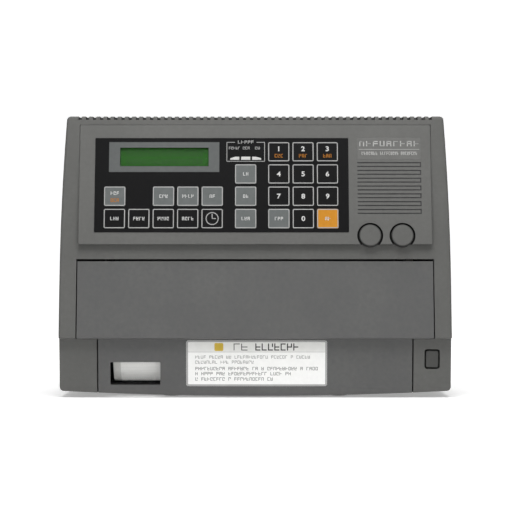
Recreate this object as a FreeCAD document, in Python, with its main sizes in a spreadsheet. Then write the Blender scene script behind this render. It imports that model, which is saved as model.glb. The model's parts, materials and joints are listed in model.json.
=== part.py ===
import FreeCAD, Part
import math
import os
import re
import Sketcher
from FreeCAD import Placement, Rotation, Vector

DOC = FreeCAD.newDocument("recorder")

# Every driving dimension, in millimetres and degrees. Heights are above the floor the feet stand on,
# and a name ending in _d is a depth behind the ridge that runs across the front.
SIZES = [
    ("case_w", 372.0, "cabinet width"),
    ("case_dp", 125.0, "cabinet depth"),
    ("case_top", 268.9, "height of the top face"),
    ("case_wall", 3.0, "moulded wall thickness"),
    ("case_in", 8.3, "side wall thickness of the front half"),
    ("side_z", 106.5, "height where the sides start to lean in"),
    ("side_r", 2500.0, "radius the sides lean in along"),
    ("bow_r", 3450.0, "radius of the bowed bottom lip"),
    ("lip_z", 1.5, "height of the lip at its middle"),
    ("base_z", 6.5, "height of the cabinet's underside"),
    ("step_d", 8.0, "depth of the step under the ridge"),
    ("step_z", 56.1, "height of the step under the ridge"),
    ("ridge_z", 57.3, "height of the ridge"),
    ("lean", 7.0, "angle the front leans back at"),
    ("split_d", 88.0, "depth where the rear cover starts"),
    ("cap_x", 150.4, "half width between the end caps"),
    ("cap_dp", 30.0, "depth of the end caps' back"),
    ("leg_dp", 31.0, "depth of the door opening"),
    ("leaf_x", 168.7, "half width of the door's upper leaf"),
    ("leaf_z", 129.7, "height of the door's upper edge"),
    ("leaf_gap", 1.1, "gap beside the upper leaf"),
    ("slot_gap", 2.1, "height of the paper exit slot"),
    ("door_x", 149.1, "half width of the door's lower leaf"),
    ("door_wall", 3.1, "door wall thickness"),
    ("fit_gap", 0.3, "clearance between pieces that move past each other"),
    ("run_gap", 0.05, "radial clearance of a running fit"),
    ("hinge_d", 17.0, "depth of the door hinge"),
    ("hinge_z", 12.5, "height of the door hinge"),
    ("hinge_r", 2.0, "hinge pin radius"),
    ("knuckle_r", 4.2, "door hinge boss radius"),
    ("knuckle_l", 9.0, "door hinge boss length"),
    ("panel_tilt", 9.7, "angle the control panel leans back at"),
    ("panel_x", 168.0, "half width of the control panel"),
    ("panel_z", 145.6, "height of the panel's lower edge"),
    ("panel_d", 5.3, "depth of the panel's lower edge"),
    ("panel_len", 116.57, "length of the panel up its slope"),
    ("panel_foot", 14.54, "thickness of the panel at its lower edge"),
    ("panel_head", 9.0, "thickness of the panel at its upper edge"),
    ("panel_skin", 3.0, "thickness of the panel's face"),
    ("panel_gap", 0.2, "gap round the panel"),
    ("hollow_v", 31.0, "start of the panel's hollow up the slope"),
    ("sheet_x0", -152.9, "left edge of the key overlay"),
    ("sheet_x1", 89.0, "right edge of the key overlay"),
    ("sheet_v0", 11.87, "lower edge of the key overlay"),
    ("sheet_v1", 103.5, "upper edge of the key overlay"),
    ("sheet_sink", 0.8, "depth the overlay is let into the panel"),
    ("sheet_thk", 1.2, "overlay thickness"),
    ("ledge", 3.0, "width of the ledge the overlay is glued to"),
    ("key_w", 20.4, "key width"),
    ("key_ht", 18.9, "key height"),
    ("key_r", 1.5, "key corner radius"),
    ("key_top", 0.7, "key face above the panel"),
    ("key_under", 3.0, "key underside below the panel"),
    ("key_v", 24.96, "centre of the lowest key row"),
    ("key_dv", 21.68, "pitch of the key rows"),
    ("key_du", 23.2, "pitch of the key columns"),
    ("left_u", -133.7, "centre of the first left column"),
    ("mid_u", -9.1, "centre of the middle column"),
    ("pad_u", 22.5, "centre of the first digit column"),
    ("switch_u", -19.5, "centre of the first power key"),
    ("switch_du", 10.45, "pitch of the power keys"),
    ("switch_v", 83.5, "height of the power keys up the slope"),
    ("switch_w", 8.6, "power key width"),
    ("switch_ht", 2.9, "power key height"),
    ("lcd_u", -86.8, "centre of the display"),
    ("lcd_v", 84.96, "height of the display up the slope"),
    ("lcd_w", 84.4, "display window width"),
    ("lcd_ht", 18.0, "display window height"),
    ("lens_lap", 2.0, "overlap of the display lens behind its window"),
    ("lens_thk", 1.0, "display lens thickness"),
    ("board_w", 4.4, "depth of the key board's face below the panel"),
    ("board_thk", 1.6, "board thickness"),
    ("grille_x0", 97.5, "left end of the speaker slits"),
    ("grille_x1", 158.4, "right end of the speaker slits"),
    ("grille_v", 31.9, "centre of the lowest louvre"),
    ("grille_dv", 7.6, "pitch of the louvres"),
    ("slit", 1.2, "width of a slit"),
    ("slit_off", 1.85, "slit centre above and below the louvre centre"),
    ("knob_u", 109.0, "centre of the left knob"),
    ("knob_du", 30.6, "distance between the knobs"),
    ("knob_v", 8.62, "height of the knobs up the slope"),
    ("knob_r", 10.6, "knob radius"),
    ("knob_top", 2.0, "knob face above the panel"),
    ("knob_under", 4.9, "knob underside below the panel"),
    ("well_gap", 1.75, "gap round a knob in its well"),
    ("well_dp", 5.3, "depth of the well"),
    ("spindle_r", 3.0, "potentiometer spindle radius"),
    ("bush_r", 4.5, "potentiometer bush radius"),
    ("badge_v0", 82.6, "lower edge of the badge"),
    ("badge_v1", 104.4, "upper edge of the badge"),
    ("badge_thk", 0.4, "badge thickness"),
    ("vent_n", 50.0, "number of vent slots"),
    ("vent_du", 6.857, "pitch of the vent slots"),
    ("vent_w", 3.2, "width of a vent slot"),
    ("vent_drop", 3.4, "depth of the vent slots below the top"),
    ("vent_end", 40.0, "depth where the vent slots end"),
    ("win_x0", -137.7, "left edge of the paper window"),
    ("win_x1", -90.1, "right edge of the paper window"),
    ("win_z0", 12.3, "lower edge of the paper window"),
    ("win_z1", 33.9, "upper edge of the paper window"),
    ("lower_tilt", 4.9, "angle the lower front faces down at"),
    ("pane_lap", 2.0, "overlap of the pane behind its window"),
    ("pane_thk", 1.5, "pane thickness"),
    ("label_x0", -65.5, "left edge of the door label"),
    ("label_x1", 68.2, "right edge of the door label"),
    ("label_v0", 9.6, "lower edge of the label up the slope"),
    ("label_v1", 53.4, "upper edge of the label up the slope"),
    ("label_r", 2.4, "label corner radius"),
    ("label_thk", 0.3, "label thickness"),
    ("push_u", 168.0, "centre of the release button"),
    ("push_v", 35.5, "height of the release button up the slope"),
    ("push_w", 11.6, "release button width"),
    ("push_ht", 15.8, "release button height"),
    ("push_ring", 1.5, "gap round the release button"),
    ("latch_d", 26.0, "depth of the latch bar's front"),
    ("latch_dp", 3.5, "latch bar depth"),
    ("roll_d", 44.0, "depth of the paper roll's centre"),
    ("roll_z", 40.0, "height of the paper roll's centre"),
    ("roll_r", 27.0, "paper roll radius"),
    ("roll_x", 128.5, "half width of the paper"),
    ("core_r", 13.0, "paper core radius"),
    ("flange_r", 26.6, "paper holder flange radius"),
    ("flange_w", 7.0, "paper holder flange width"),
    ("journal_r", 4.0, "paper holder journal radius"),
    ("cheek_x", 140.8, "inner face of the bay's side plates"),
    ("cheek_w", 3.0, "side plate thickness"),
    ("bay_back", 85.0, "depth of the bay's back"),
    ("bay_top", 136.0, "height of the bay's side plates"),
    ("platen_d", 36.0, "depth of the platen's centre"),
    ("platen_z", 117.5, "height of the platen's centre"),
    ("platen_r", 10.0, "platen radius"),
    ("platen_x", 131.0, "half width of the platen rubber"),
    ("shaft_r", 4.0, "platen shaft radius"),
    ("gear_m", 1.0, "gear module"),
    ("pinion_n", 14.0, "teeth on the motor pinion"),
    ("idler_n", 24.0, "teeth on the idler"),
    ("drum_n", 26.0, "teeth on the platen gear"),
    ("gear_w", 6.0, "gear face width"),
    ("gear_x", 146.0, "inner face of the gears"),
    ("gear_a", 25.0, "angle from the idler to the pinion"),
    ("motor_r", 17.5, "motor radius"),
    ("motor_l", 28.0, "motor length"),
    ("motor_shaft_r", 2.5, "motor shaft radius"),
    ("head_ht", 20.0, "thermal head height"),
    ("head_dp", 8.0, "thermal head depth"),
    ("head_gap", 0.4, "gap between thermal head and platen"),
    ("head_pin_r", 2.0, "thermal head pivot radius"),
    ("speaker_r", 23.0, "speaker frame radius"),
    ("speaker_l", 18.0, "speaker depth"),
    ("bolt_du", 300.0, "width between the wall mounting holes"),
    ("bolt_dz", 160.0, "height between the wall mounting holes"),
    ("bolt_z", 60.0, "height of the lower mounting holes"),
    ("bolt_r", 2.65, "wall mounting hole radius"),
    ("bolt_boss_r", 7.0, "wall mounting boss radius"),
    ("bolt_boss_l", 12.0, "wall mounting boss length"),
    ("post_in", 12.0, "distance of the case screws from the sides"),
    ("post_z0", 18.0, "height of the lower case screws"),
    ("post_z1", 254.0, "height of the upper case screws"),
    ("post_r", 5.0, "case screw post radius"),
    ("screw_r", 1.5, "case screw radius"),
    ("screw_head_r", 3.0, "case screw head radius"),
    ("screw_l", 48.0, "case screw length"),
    ("foot_r", 9.0, "rubber foot radius"),
    ("foot_x0", 80.0, "half distance between the front feet"),
    ("foot_x1", 150.0, "half distance between the rear feet"),
    ("foot_d0", 44.0, "depth of the front feet"),
    ("foot_d1", 110.0, "depth of the rear feet"),
    ("dock_x0", -150.0, "left edge of the connector recess"),
    ("dock_x1", -40.0, "right edge of the connector recess"),
    ("dock_z0", 90.0, "lower edge of the connector recess"),
    ("dock_z1", 136.0, "upper edge of the connector recess"),
    ("dock_dp", 22.0, "depth of the connector recess"),
    ("aerial_u", -66.0, "centre of the aerial socket"),
    ("aerial_r", 7.9, "aerial barrel radius"),
    ("inlet_u", -120.0, "centre of the power inlet"),
    ("inlet_r", 11.9, "power inlet barrel radius"),
    ("port_gap", 0.1, "clearance round the connector barrels"),
    ("port_l", 15.0, "length of the connector barrels behind the recess wall"),
    ("port_wall", 1.9, "wall of the connector barrels"),
    ("port_z", 113.0, "height of the connectors"),
    ("supply_x0", 20.0, "left end of the power supply"),
    ("supply_x1", 130.0, "right end of the power supply"),
    ("supply_z0", 160.0, "lower edge of the power supply"),
    ("supply_z1", 215.0, "upper edge of the power supply"),
    ("supply_dp", 26.0, "power supply depth"),
]
NAMES = {name for name, _, _ in SIZES}
DERIVED = {
    "lip_d": "(step_d + (step_z - lip_z) * tan(lower_tilt))",
    "post_x": "(case_w / 2 - post_in)",
    "well_r": "(knob_r + well_gap)",
}
MID = "case_dp / 2"
NODES = []


def fill_sheet():
    """Write every size into the sheet as a named cell."""
    sheet = DOC.addObject("Spreadsheet::Sheet", "Dims")
    for row, (name, size, note) in enumerate(SIZES, 1):
        sheet.set("A%d" % row, note)
        sheet.set("B%d" % row, str(size))
        sheet.setAlias("B%d" % row, name)
    DOC.recompute()
    return sheet


SHEET = fill_sheet()


def bound(text):
    """Turn size names into references to the sheet."""
    whole = re.sub(r"[a-z][a-z0-9_]*", lambda m: DERIVED.get(m[0], m[0]), str(text))
    return re.sub(r"[a-z][a-z0-9_]*", lambda m: "Dims." + m[0] if m[0] in NAMES else m[0], whole)


def value(text):
    """Work a size expression out as a number."""
    return float(SHEET.evalExpression(bound(text)))


def tie(item, path, text):
    """Bind a property of a document object to a size expression."""
    item.setExpression(path, bound(text))


def add(*terms):
    """Sum of size expressions."""
    return " + ".join("(%s)" % term for term in terms)


def less(first, *terms):
    """First size expression with the others taken away."""
    return "(%s)" % first + "".join(" - (%s)" % term for term in terms)


def depth(d1, d2):
    """Limits along an XZ sketch's normal for depths d1 to d2 behind the ridge."""
    return less(MID, d2), less(MID, d1)


def lean_d(z, back="0"):
    """Depth of the leaning front at height z, a distance further back."""
    return "((%s) - ridge_z) * tan(lean) + (%s)" % (z, back)


def lower_d(z, back="0"):
    """Depth of the lower front at height z, a distance further back."""
    return "lip_d - ((%s) - lip_z) * tan(lower_tilt) + (%s)" % (z, back)


# Sketches and features


def line_edge(sketch, start, end):
    """Add a straight edge and return it with its two end points."""
    number = sketch.addGeometry(Part.LineSegment(start, end), False)
    return (number, 1), (number, 2)


def arc_edge(sketch, start, end, radius, turn):
    """Add an arc that bends left for turn +1 and right for turn -1, held at its radius."""
    half = (end - start) * 0.5
    aside = Vector(-half.y, half.x, 0).normalize() * turn
    size = value(radius)
    centre = start + half + aside * math.sqrt(size * size - half.Length ** 2)
    first, last = (start, end) if turn > 0 else (end, start)
    angles = [math.atan2(p.y - centre.y, p.x - centre.x) for p in (first, last)]
    circle = Part.Circle(centre, Vector(0, 0, 1), size)
    number = sketch.addGeometry(Part.ArcOfCircle(circle, *angles), False)
    rule = sketch.addConstraint(Sketcher.Constraint("Radius", number, size))
    tie(sketch, "Constraints[%d]" % rule, radius)
    return ((number, 1), (number, 2)) if turn > 0 else ((number, 2), (number, 1))


def hold_point(sketch, point, across, up):
    """Hold a sketch point at its two bound coordinates."""
    for kind, text in (("DistanceX", across), ("DistanceY", up)):
        rule = sketch.addConstraint(Sketcher.Constraint(kind, -1, 1, *point, value(text)))
        tie(sketch, "Constraints[%d]" % rule, text)


def draw_loop(sketch, corners):
    """Close a loop through the corners; a corner may carry the arc that leaves it."""
    spots = [Vector(value(c[0]), value(c[1]), 0) for c in corners]
    ends = []
    for i, corner in enumerate(corners):
        pair = (spots[i], spots[(i + 1) % len(spots)])
        ends.append(line_edge(sketch, *pair) if len(corner) == 2 else arc_edge(sketch, *pair, *corner[2:]))
    for i, corner in enumerate(corners):
        sketch.addConstraint(Sketcher.Constraint("Coincident", *ends[i - 1][1], *ends[i][0]))
        hold_point(sketch, ends[i][0], corner[0], corner[1])


def draw_circle(sketch, across, up, radius):
    """Add a circle held at its centre and radius."""
    centre = Vector(value(across), value(up), 0)
    number = sketch.addGeometry(Part.Circle(centre, Vector(0, 0, 1), value(radius)), False)
    hold_point(sketch, (number, 3), across, up)
    rule = sketch.addConstraint(Sketcher.Constraint("Radius", number, value(radius)))
    tie(sketch, "Constraints[%d]" % rule, radius)


def box_loop(x0, y0, x1, y1):
    """Corners of a rectangle."""
    return [(x0, y0), (x1, y0), (x1, y1), (x0, y1)]


def soft_loop(x0, y0, x1, y1, r):
    """Corners of a rectangle with rounded corners."""
    return [(add(x0, r), y0), (less(x1, r), y0, r, 1), (x1, add(y0, r)), (x1, less(y1, r), r, 1),
            (less(x1, r), y1), (add(x0, r), y1, r, 1), (x0, less(y1, r)), (x0, add(y0, r), r, 1)]


def centred(u, v, w, ht, grow="0"):
    """Limits of a rectangle given by its centre and size, grown all round."""
    return (less(u, "(%s) / 2" % w, grow), less(v, "(%s) / 2" % ht, grow),
            add(u, "(%s) / 2" % w, grow), add(v, "(%s) / 2" % ht, grow))


def new_body(label):
    """Start one sub-part."""
    body = DOC.addObject("PartDesign::Body", label)
    body.Label = label
    NODES.append(body)
    return body


def sketch_on(body, name, role, loops, start):
    """Draw loops on one of the body's own planes, moved along its normal."""
    sketch = body.newObject("Sketcher::SketchObject", name + "_sketch")
    plane = [item for item in body.Origin.OriginFeatures if item.Role == role][0]
    sketch.AttachmentSupport = [(plane, "")]
    sketch.MapMode = "FlatFace"
    tie(sketch, "AttachmentOffset.Base.z", start)
    for loop in loops:
        if loop[0] == "circle":
            draw_circle(sketch, *loop[1:])
        else:
            draw_loop(sketch, loop)
    return sketch


def pad(body, name, role, loops, low, high):
    """Add material between two distances along a plane's normal."""
    sketch = sketch_on(body, name, role, loops, low)
    feature = body.newObject("PartDesign::Pad", name)
    feature.Profile = sketch
    tie(feature, "Length", less(high, low))
    sketch.Visibility = False
    return feature


def cut(body, name, role, loops, low, high):
    """Take material away between two distances along a plane's normal."""
    sketch = sketch_on(body, name, role, loops, high)
    feature = body.newObject("PartDesign::Pocket", name)
    feature.Profile = sketch
    tie(feature, "Length", less(high, low))
    sketch.Visibility = False
    return feature


def repeat(body, name, feature, axis, pitch, count):
    """Repeat a feature in a row along an axis of its sketch."""
    row = body.newObject("PartDesign::LinearPattern", name)
    row.Originals = [feature]
    row.Direction = (feature.Profile[0], [axis])
    tie(row, "Length", "(%s) * ((%s) - 1)" % (pitch, count))
    tie(row, "Occurrences", count)
    body.Tip = row
    return row


def spin(body, name, feature, count):
    """Repeat a feature round its sketch's normal."""
    ring = body.newObject("PartDesign::PolarPattern", name)
    ring.Originals = [feature]
    ring.Axis = (feature.Profile[0], ["N_Axis"])
    ring.Angle = 360
    tie(ring, "Occurrences", count)
    body.Tip = ring
    return ring


def soften(body, name, radius, test):
    """Round the edges of the newest shape that pass a test."""
    DOC.recompute()
    tip = body.Tip
    edges = ["Edge%d" % (i + 1) for i, edge in enumerate(tip.Shape.Edges) if test(edge)]
    feature = body.newObject("PartDesign::Fillet", name)
    feature.Base = (tip, edges)
    tie(feature, "Radius", radius)
    body.Tip = feature
    return feature


def near(number, text, slack=0.05):
    """True where a coordinate sits at a size expression."""
    return abs(number - value(text)) < slack


def runs_along(edge, axis):
    """True where an edge is straight and parallel to an axis given by its letter."""
    box = edge.BoundBox
    spans = {"x": box.XLength, "y": box.YLength, "z": box.ZLength}
    return spans.pop(axis) > 0.5 and max(spans.values()) < 0.01


# Placement of pieces that sit on the sloping faces


def on_panel(item, u="0", v="0", w="0"):
    """Lay a piece's XY plane on the control panel: across, up the slope, out of the face."""
    item.Placement = Placement(Vector(), Rotation(Vector(1, 0, 0), 80))
    tie(item, "Placement.Rotation.Angle", "90 - panel_tilt")
    tie(item, "Placement.Base.x", u)
    lift = "panel_d - case_dp / 2 + (%s) * sin(panel_tilt) - (%s) * cos(panel_tilt)"
    tie(item, "Placement.Base.y", lift % (v, w))
    tie(item, "Placement.Base.z", "panel_z + (%s) * cos(panel_tilt) + (%s) * sin(panel_tilt)" % (v, w))


def on_lower(item):
    """Lay a piece's XY plane on the lower front, measured up from the lip."""
    item.Placement = Placement(Vector(), Rotation(Vector(1, 0, 0), 94))
    tie(item, "Placement.Rotation.Angle", "90 + lower_tilt")
    tie(item, "Placement.Base.y", less("lip_d", MID))
    tie(item, "Placement.Base.z", "lip_z")


def across(item, x, d, z):
    """Stand a piece's Z axis along the cabinet's X axis at a depth and height."""
    item.Placement = Placement(Vector(), Rotation(Vector(1, 1, 1), 120))
    tie(item, "Placement.Base.x", x)
    tie(item, "Placement.Base.y", less(d, MID))
    tie(item, "Placement.Base.z", z)


def rearward(item, x, d, z):
    """Stand a piece's Z axis along the cabinet's Y axis, pointing to the back."""
    item.Placement = Placement(Vector(), Rotation(Vector(1, 0, 0), -90))
    tie(item, "Placement.Base.x", x)
    tie(item, "Placement.Base.y", less(d, MID))
    tie(item, "Placement.Base.z", z)


def yz(pairs):
    """Profile corners given as depth and height."""
    return [(less(d, MID), z) for d, z in pairs]


# Cabinet


def side_lean(inset="0"):
    """Half width of the cabinet at its top, a wall thickness further in."""
    return less("case_w / 2 - side_r + sqrt(side_r * side_r - (case_top - side_z) * (case_top - side_z))",
                inset)


def outline(bottom, inset="0"):
    """Front outline: straight sides that lean in along an arc towards a flat top."""
    half = less("case_w / 2", inset)
    high = less("case_top", inset)
    neck = side_lean(inset)
    return bottom + [(half, "side_z", less("side_r", inset), 1), (neck, high),
                     ("-(%s)" % neck, high, less("side_r", inset), 1), ("-(%s)" % half, "side_z")]


def corner_edge(edge):
    """True for the four long edges at the corners of the front outline."""
    box = edge.BoundBox
    side = abs(abs(box.XMin + box.XMax) / 2)
    high = near(box.ZMax, "case_top") and side > value(side_lean()) - 0.5
    low = box.ZMax < value("base_z") + 0.5 and side > value("case_w / 2") - 0.5
    return runs_along(edge, "y") and (high or low)


def front_casing():
    """Front half of the cabinet: a deep moulding with openings for panel, door, button and vents."""
    body = new_body("front_casing")
    profile = yz([("lip_d", "lip_z"), ("step_d", "step_z"), ("0", "ridge_z"), (lean_d("case_top"), "case_top"),
                  ("split_d", "case_top"), ("split_d", "base_z"), ("lip_d + 8", "base_z"),
                  ("lip_d + 5", "lip_z")])
    pad(body, "shell", "YZ_Plane", [profile], "-case_w / 2 - 5", "case_w / 2 + 5")
    rise = "lip_z + bow_r - sqrt(bow_r * bow_r - case_w * case_w / 4)"
    lip = [("-case_w / 2", rise, "bow_r", 1), ("case_w / 2", rise)]
    around = box_loop("-case_w", "-20", "case_w", "case_top + 20")
    cut(body, "trim", "XZ_Plane", [around, outline(lip)], *depth("-5", "split_d + 5"))
    cavity = yz([("cap_dp", "base_z + case_wall"), ("cap_dp", "step_z - 1.5"),
                 (lean_d("ridge_z + 3", "case_wall"), "ridge_z + 3"),
                 (lean_d("case_top - case_wall", "case_wall"), "case_top - case_wall"),
                 ("split_d + 2", "case_top - case_wall"), ("split_d + 2", "base_z + case_wall")])
    cut(body, "cavity", "YZ_Plane", [cavity], "-case_w / 2 + case_in", "case_w / 2 - case_in")
    caps = [box_loop(less("cap_x", "-case_wall"), "base_z + case_wall", "case_w / 2 - 5", "step_z - 1.5"),
            box_loop("-case_w / 2 + 5", "base_z + case_wall", less("-cap_x", "case_wall"), "step_z - 1.5")]
    cut(body, "cap_pockets", "XZ_Plane", caps, *depth("lip_d + 2.3", "cap_dp + 2"))
    leaf = add("leaf_x", "leaf_gap")
    mouth = [("-cap_x", "-5"), ("cap_x", "-5"), ("cap_x", "step_z - 0.3"), (leaf, "step_z - 0.3"),
             (leaf, "leaf_z + slot_gap"), ("-(%s)" % leaf, "leaf_z + slot_gap"),
             ("-(%s)" % leaf, "step_z - 0.3"), ("-cap_x", "step_z - 0.3")]
    cut(body, "mouth", "XZ_Plane", [mouth], *depth("-5", "leg_dp"))
    seat = box_loop("-panel_x - panel_gap", "panel_z - panel_gap", "panel_x + panel_gap",
                    "panel_z + panel_len * cos(panel_tilt) + panel_gap")
    cut(body, "panel_seat", "XZ_Plane", [seat], *depth("-5", "60"))
    push_z = "lip_z + push_v * cos(lower_tilt)"
    hole = soft_loop(*centred("push_u", push_z, "push_w", "push_ht", "push_ring"), "2.5")
    cut(body, "button_hole", "XZ_Plane", [hole], *depth("0", "lip_d + 6"))
    gate = box_loop("push_u - 8 - fit_gap", "step_z - 5", "push_u + fit_gap", "step_z + 2")
    cut(body, "latch_gate", "XZ_Plane", [gate], *depth("latch_d - 1", "cap_dp + 2"))
    bores = [("circle", less("hinge_d", MID), "hinge_z", "hinge_r")]
    cut(body, "right_bore", "YZ_Plane", bores, "cap_x - 1", "cap_x + 6")
    cut(body, "left_bore", "YZ_Plane", bores, "-cap_x - 6", "-cap_x + 1")
    posts = []
    for side in ("", "-"):
        for high in ("post_z0", "post_z1"):
            posts.append(("circle", side + "post_x", high, "post_r"))
    pad(body, "posts", "XZ_Plane", posts, *depth("split_d - 34", "split_d"))
    holes = [("circle", loop[1], loop[2], "screw_r") for loop in posts]
    cut(body, "post_holes", "XZ_Plane", holes, *depth("split_d - 30", "split_d + 1"))
    soften(body, "corners", "4", corner_edge)
    top_edge = lambda e: runs_along(e, "x") and near(e.BoundBox.ZMin, "case_top") and e.BoundBox.YMin < 0
    soften(body, "brow", "2.5", lambda e: top_edge(e) and near(e.BoundBox.YMin, less(lean_d("case_top"), MID)))
    ridge = lambda e: runs_along(e, "x") and near(e.BoundBox.ZMin, "ridge_z")
    soften(body, "ridge", "0.8", lambda e: ridge(e) and near(e.BoundBox.YMin, less("0", MID)))
    vent = yz([("10", "case_top - vent_drop"), ("vent_end", "case_top - vent_drop"),
               ("vent_end", "case_top + 2"), ("10", "case_top + 2")])
    first = "-vent_du * (vent_n - 1) / 2"
    slot = cut(body, "vent", "YZ_Plane", [vent], first + " - vent_w / 2", first + " + vent_w / 2")
    repeat(body, "vents", slot, "N_Axis", "vent_du", "vent_n")
    return body


def rear_cover():
    """Rear half of the cabinet: a tray with a connector recess and wall mounting bosses."""
    body = new_body("rear_cover")
    foot = [("-case_w / 2", "base_z"), ("case_w / 2", "base_z")]
    pad(body, "tray", "XZ_Plane", [outline(foot)], *depth("split_d", "case_dp"))
    soften(body, "corners", "4", corner_edge)
    soften(body, "back_edge", "2", lambda e: near(e.BoundBox.YMin, MID) and near(e.BoundBox.YMax, MID))
    inner = [("-case_w / 2 + case_wall", "base_z + case_wall"), ("case_w / 2 - case_wall", "base_z + case_wall")]
    cut(body, "hollow", "XZ_Plane", [outline(inner, "case_wall")], *depth("split_d - 2", "case_dp - case_wall"))
    skin = ("dock_x0 - case_wall", "dock_z0 - case_wall", "dock_x1 + case_wall", "dock_z1 + case_wall")
    pad(body, "dock_wall", "XZ_Plane", [box_loop(*skin)], *depth("case_dp - dock_dp - case_wall", "case_dp - 1"))
    dock = box_loop("dock_x0", "dock_z0", "dock_x1", "dock_z1")
    cut(body, "dock", "XZ_Plane", [dock], *depth("case_dp - dock_dp", "case_dp + 1"))
    ports = [("circle", name + "_u", "port_z", name + "_r + port_gap") for name in ("aerial", "inlet")]
    cut(body, "ports", "XZ_Plane", ports, *depth("case_dp - dock_dp - 10", "case_dp - dock_dp + 1"))
    bosses = []
    for side in ("", "-"):
        for high in ("bolt_z", "bolt_z + bolt_dz"):
            bosses.append(("circle", side + "bolt_du / 2", high, "bolt_boss_r"))
    pad(body, "bosses", "XZ_Plane", bosses, *depth("case_dp - bolt_boss_l", "case_dp - 1"))
    holes = [("circle", loop[1], loop[2], "bolt_r") for loop in bosses]
    cut(body, "bolt_holes", "XZ_Plane", holes, *depth("case_dp - bolt_boss_l - 1", "case_dp + 1"))
    posts = []
    for side in ("", "-"):
        for high in ("post_z0", "post_z1"):
            posts.append(("circle", side + "post_x", high, "post_r"))
    pad(body, "posts", "XZ_Plane", posts, *depth("split_d", "case_dp - 1"))
    wells = [("circle", loop[1], loop[2], "screw_head_r + 0.3") for loop in posts]
    cut(body, "post_wells", "XZ_Plane", wells, *depth("split_d + 20", "case_dp + 1"))
    shanks = [("circle", loop[1], loop[2], "screw_r + 0.2") for loop in posts]
    cut(body, "post_holes", "XZ_Plane", shanks, *depth("split_d - 1", "split_d + 21"))
    breath = box_loop("-70", "232", "-67", "252")
    slot = cut(body, "breather", "XZ_Plane", [breath], *depth("case_dp - 6", "case_dp + 1"))
    repeat(body, "breathers", slot, "H_Axis", "7", "21")
    return body


def paper_bay():
    """Inner frame: two side plates and a back, carrying the roll, the platen and the drive."""
    body = new_body("paper_bay")
    side = yz([("leg_dp + 3", "base_z + case_wall"), ("bay_back", "base_z + case_wall"),
               ("bay_back", "bay_top"), ("platen_d - 12", "bay_top"), ("platen_d - 14", "platen_z - 14"),
               ("roll_d - 20", "roll_z + 14"), ("roll_d - 20", "roll_z - 10")])
    outer = add("cheek_x", "cheek_w")
    pad(body, "block", "YZ_Plane", [side], "-(%s)" % outer, outer)
    room = yz([("-5", "base_z + case_wall + 3"), ("bay_back - 3", "base_z + case_wall + 3"),
               ("bay_back - 3", "bay_top + 5"), ("-5", "bay_top + 5")])
    cut(body, "room", "YZ_Plane", [room], "-cheek_x", "cheek_x")
    mouth = yz([("-5", less("roll_z", "journal_r", "run_gap")), ("roll_d", less("roll_z", "journal_r", "run_gap")),
                ("roll_d", add("roll_z", "journal_r", "run_gap")), ("-5", add("roll_z", "journal_r", "run_gap"))])
    cut(body, "cradle", "YZ_Plane", [mouth], "-(%s) - 1" % outer, "(%s) + 1" % outer)
    seat = [("circle", less("roll_d", MID), "roll_z", add("journal_r", "run_gap"))]
    cut(body, "cradle_end", "YZ_Plane", seat, "-(%s) - 1" % outer, "(%s) + 1" % outer)
    bore = [("circle", less("platen_d", MID), "platen_z", add("shaft_r", "run_gap"))]
    cut(body, "platen_bores", "YZ_Plane", bore, "-(%s) - 1" % outer, "(%s) + 1" % outer)
    spot = pinion_spot()
    nose = [("circle", less(spot[0], MID), spot[1], "motor_shaft_r + 1.5")]
    cut(body, "motor_bore", "YZ_Plane", nose, "cheek_x - 1", "(%s) + 1" % outer)
    hub = idler_spot()
    stub = [("circle", less(hub[0], MID), hub[1], "hinge_r")]
    pad(body, "idler_stub", "YZ_Plane", stub, "cheek_x + 1", "gear_x + gear_w + 1")
    return body


def idler_spot():
    """Depth and height of the idler gear, square to the pinion's direction."""
    arm = "gear_m * (drum_n + idler_n) / 2"
    return "platen_d + %s * sin(gear_a)" % arm, "platen_z - %s * cos(gear_a)" % arm


def pinion_spot():
    """Depth and height of the motor pinion."""
    arm = "gear_m * (pinion_n + idler_n) / 2"
    hub = idler_spot()
    return add(hub[0], "%s * cos(gear_a)" % arm), add(hub[1], "%s * sin(gear_a)" % arm)


def panel_profile():
    """Side profile of the panel in its own frame, with level upper and lower faces."""
    return [("0", "0"), ("panel_len", "0"),
            ("panel_len + panel_head * sin(panel_tilt)", "-panel_head * cos(panel_tilt)"),
            ("panel_foot * sin(panel_tilt)", "-panel_foot * cos(panel_tilt)")]


def knob_spots():
    """Centres of the two knobs across the panel."""
    return "knob_u", "knob_u + knob_du"


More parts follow.
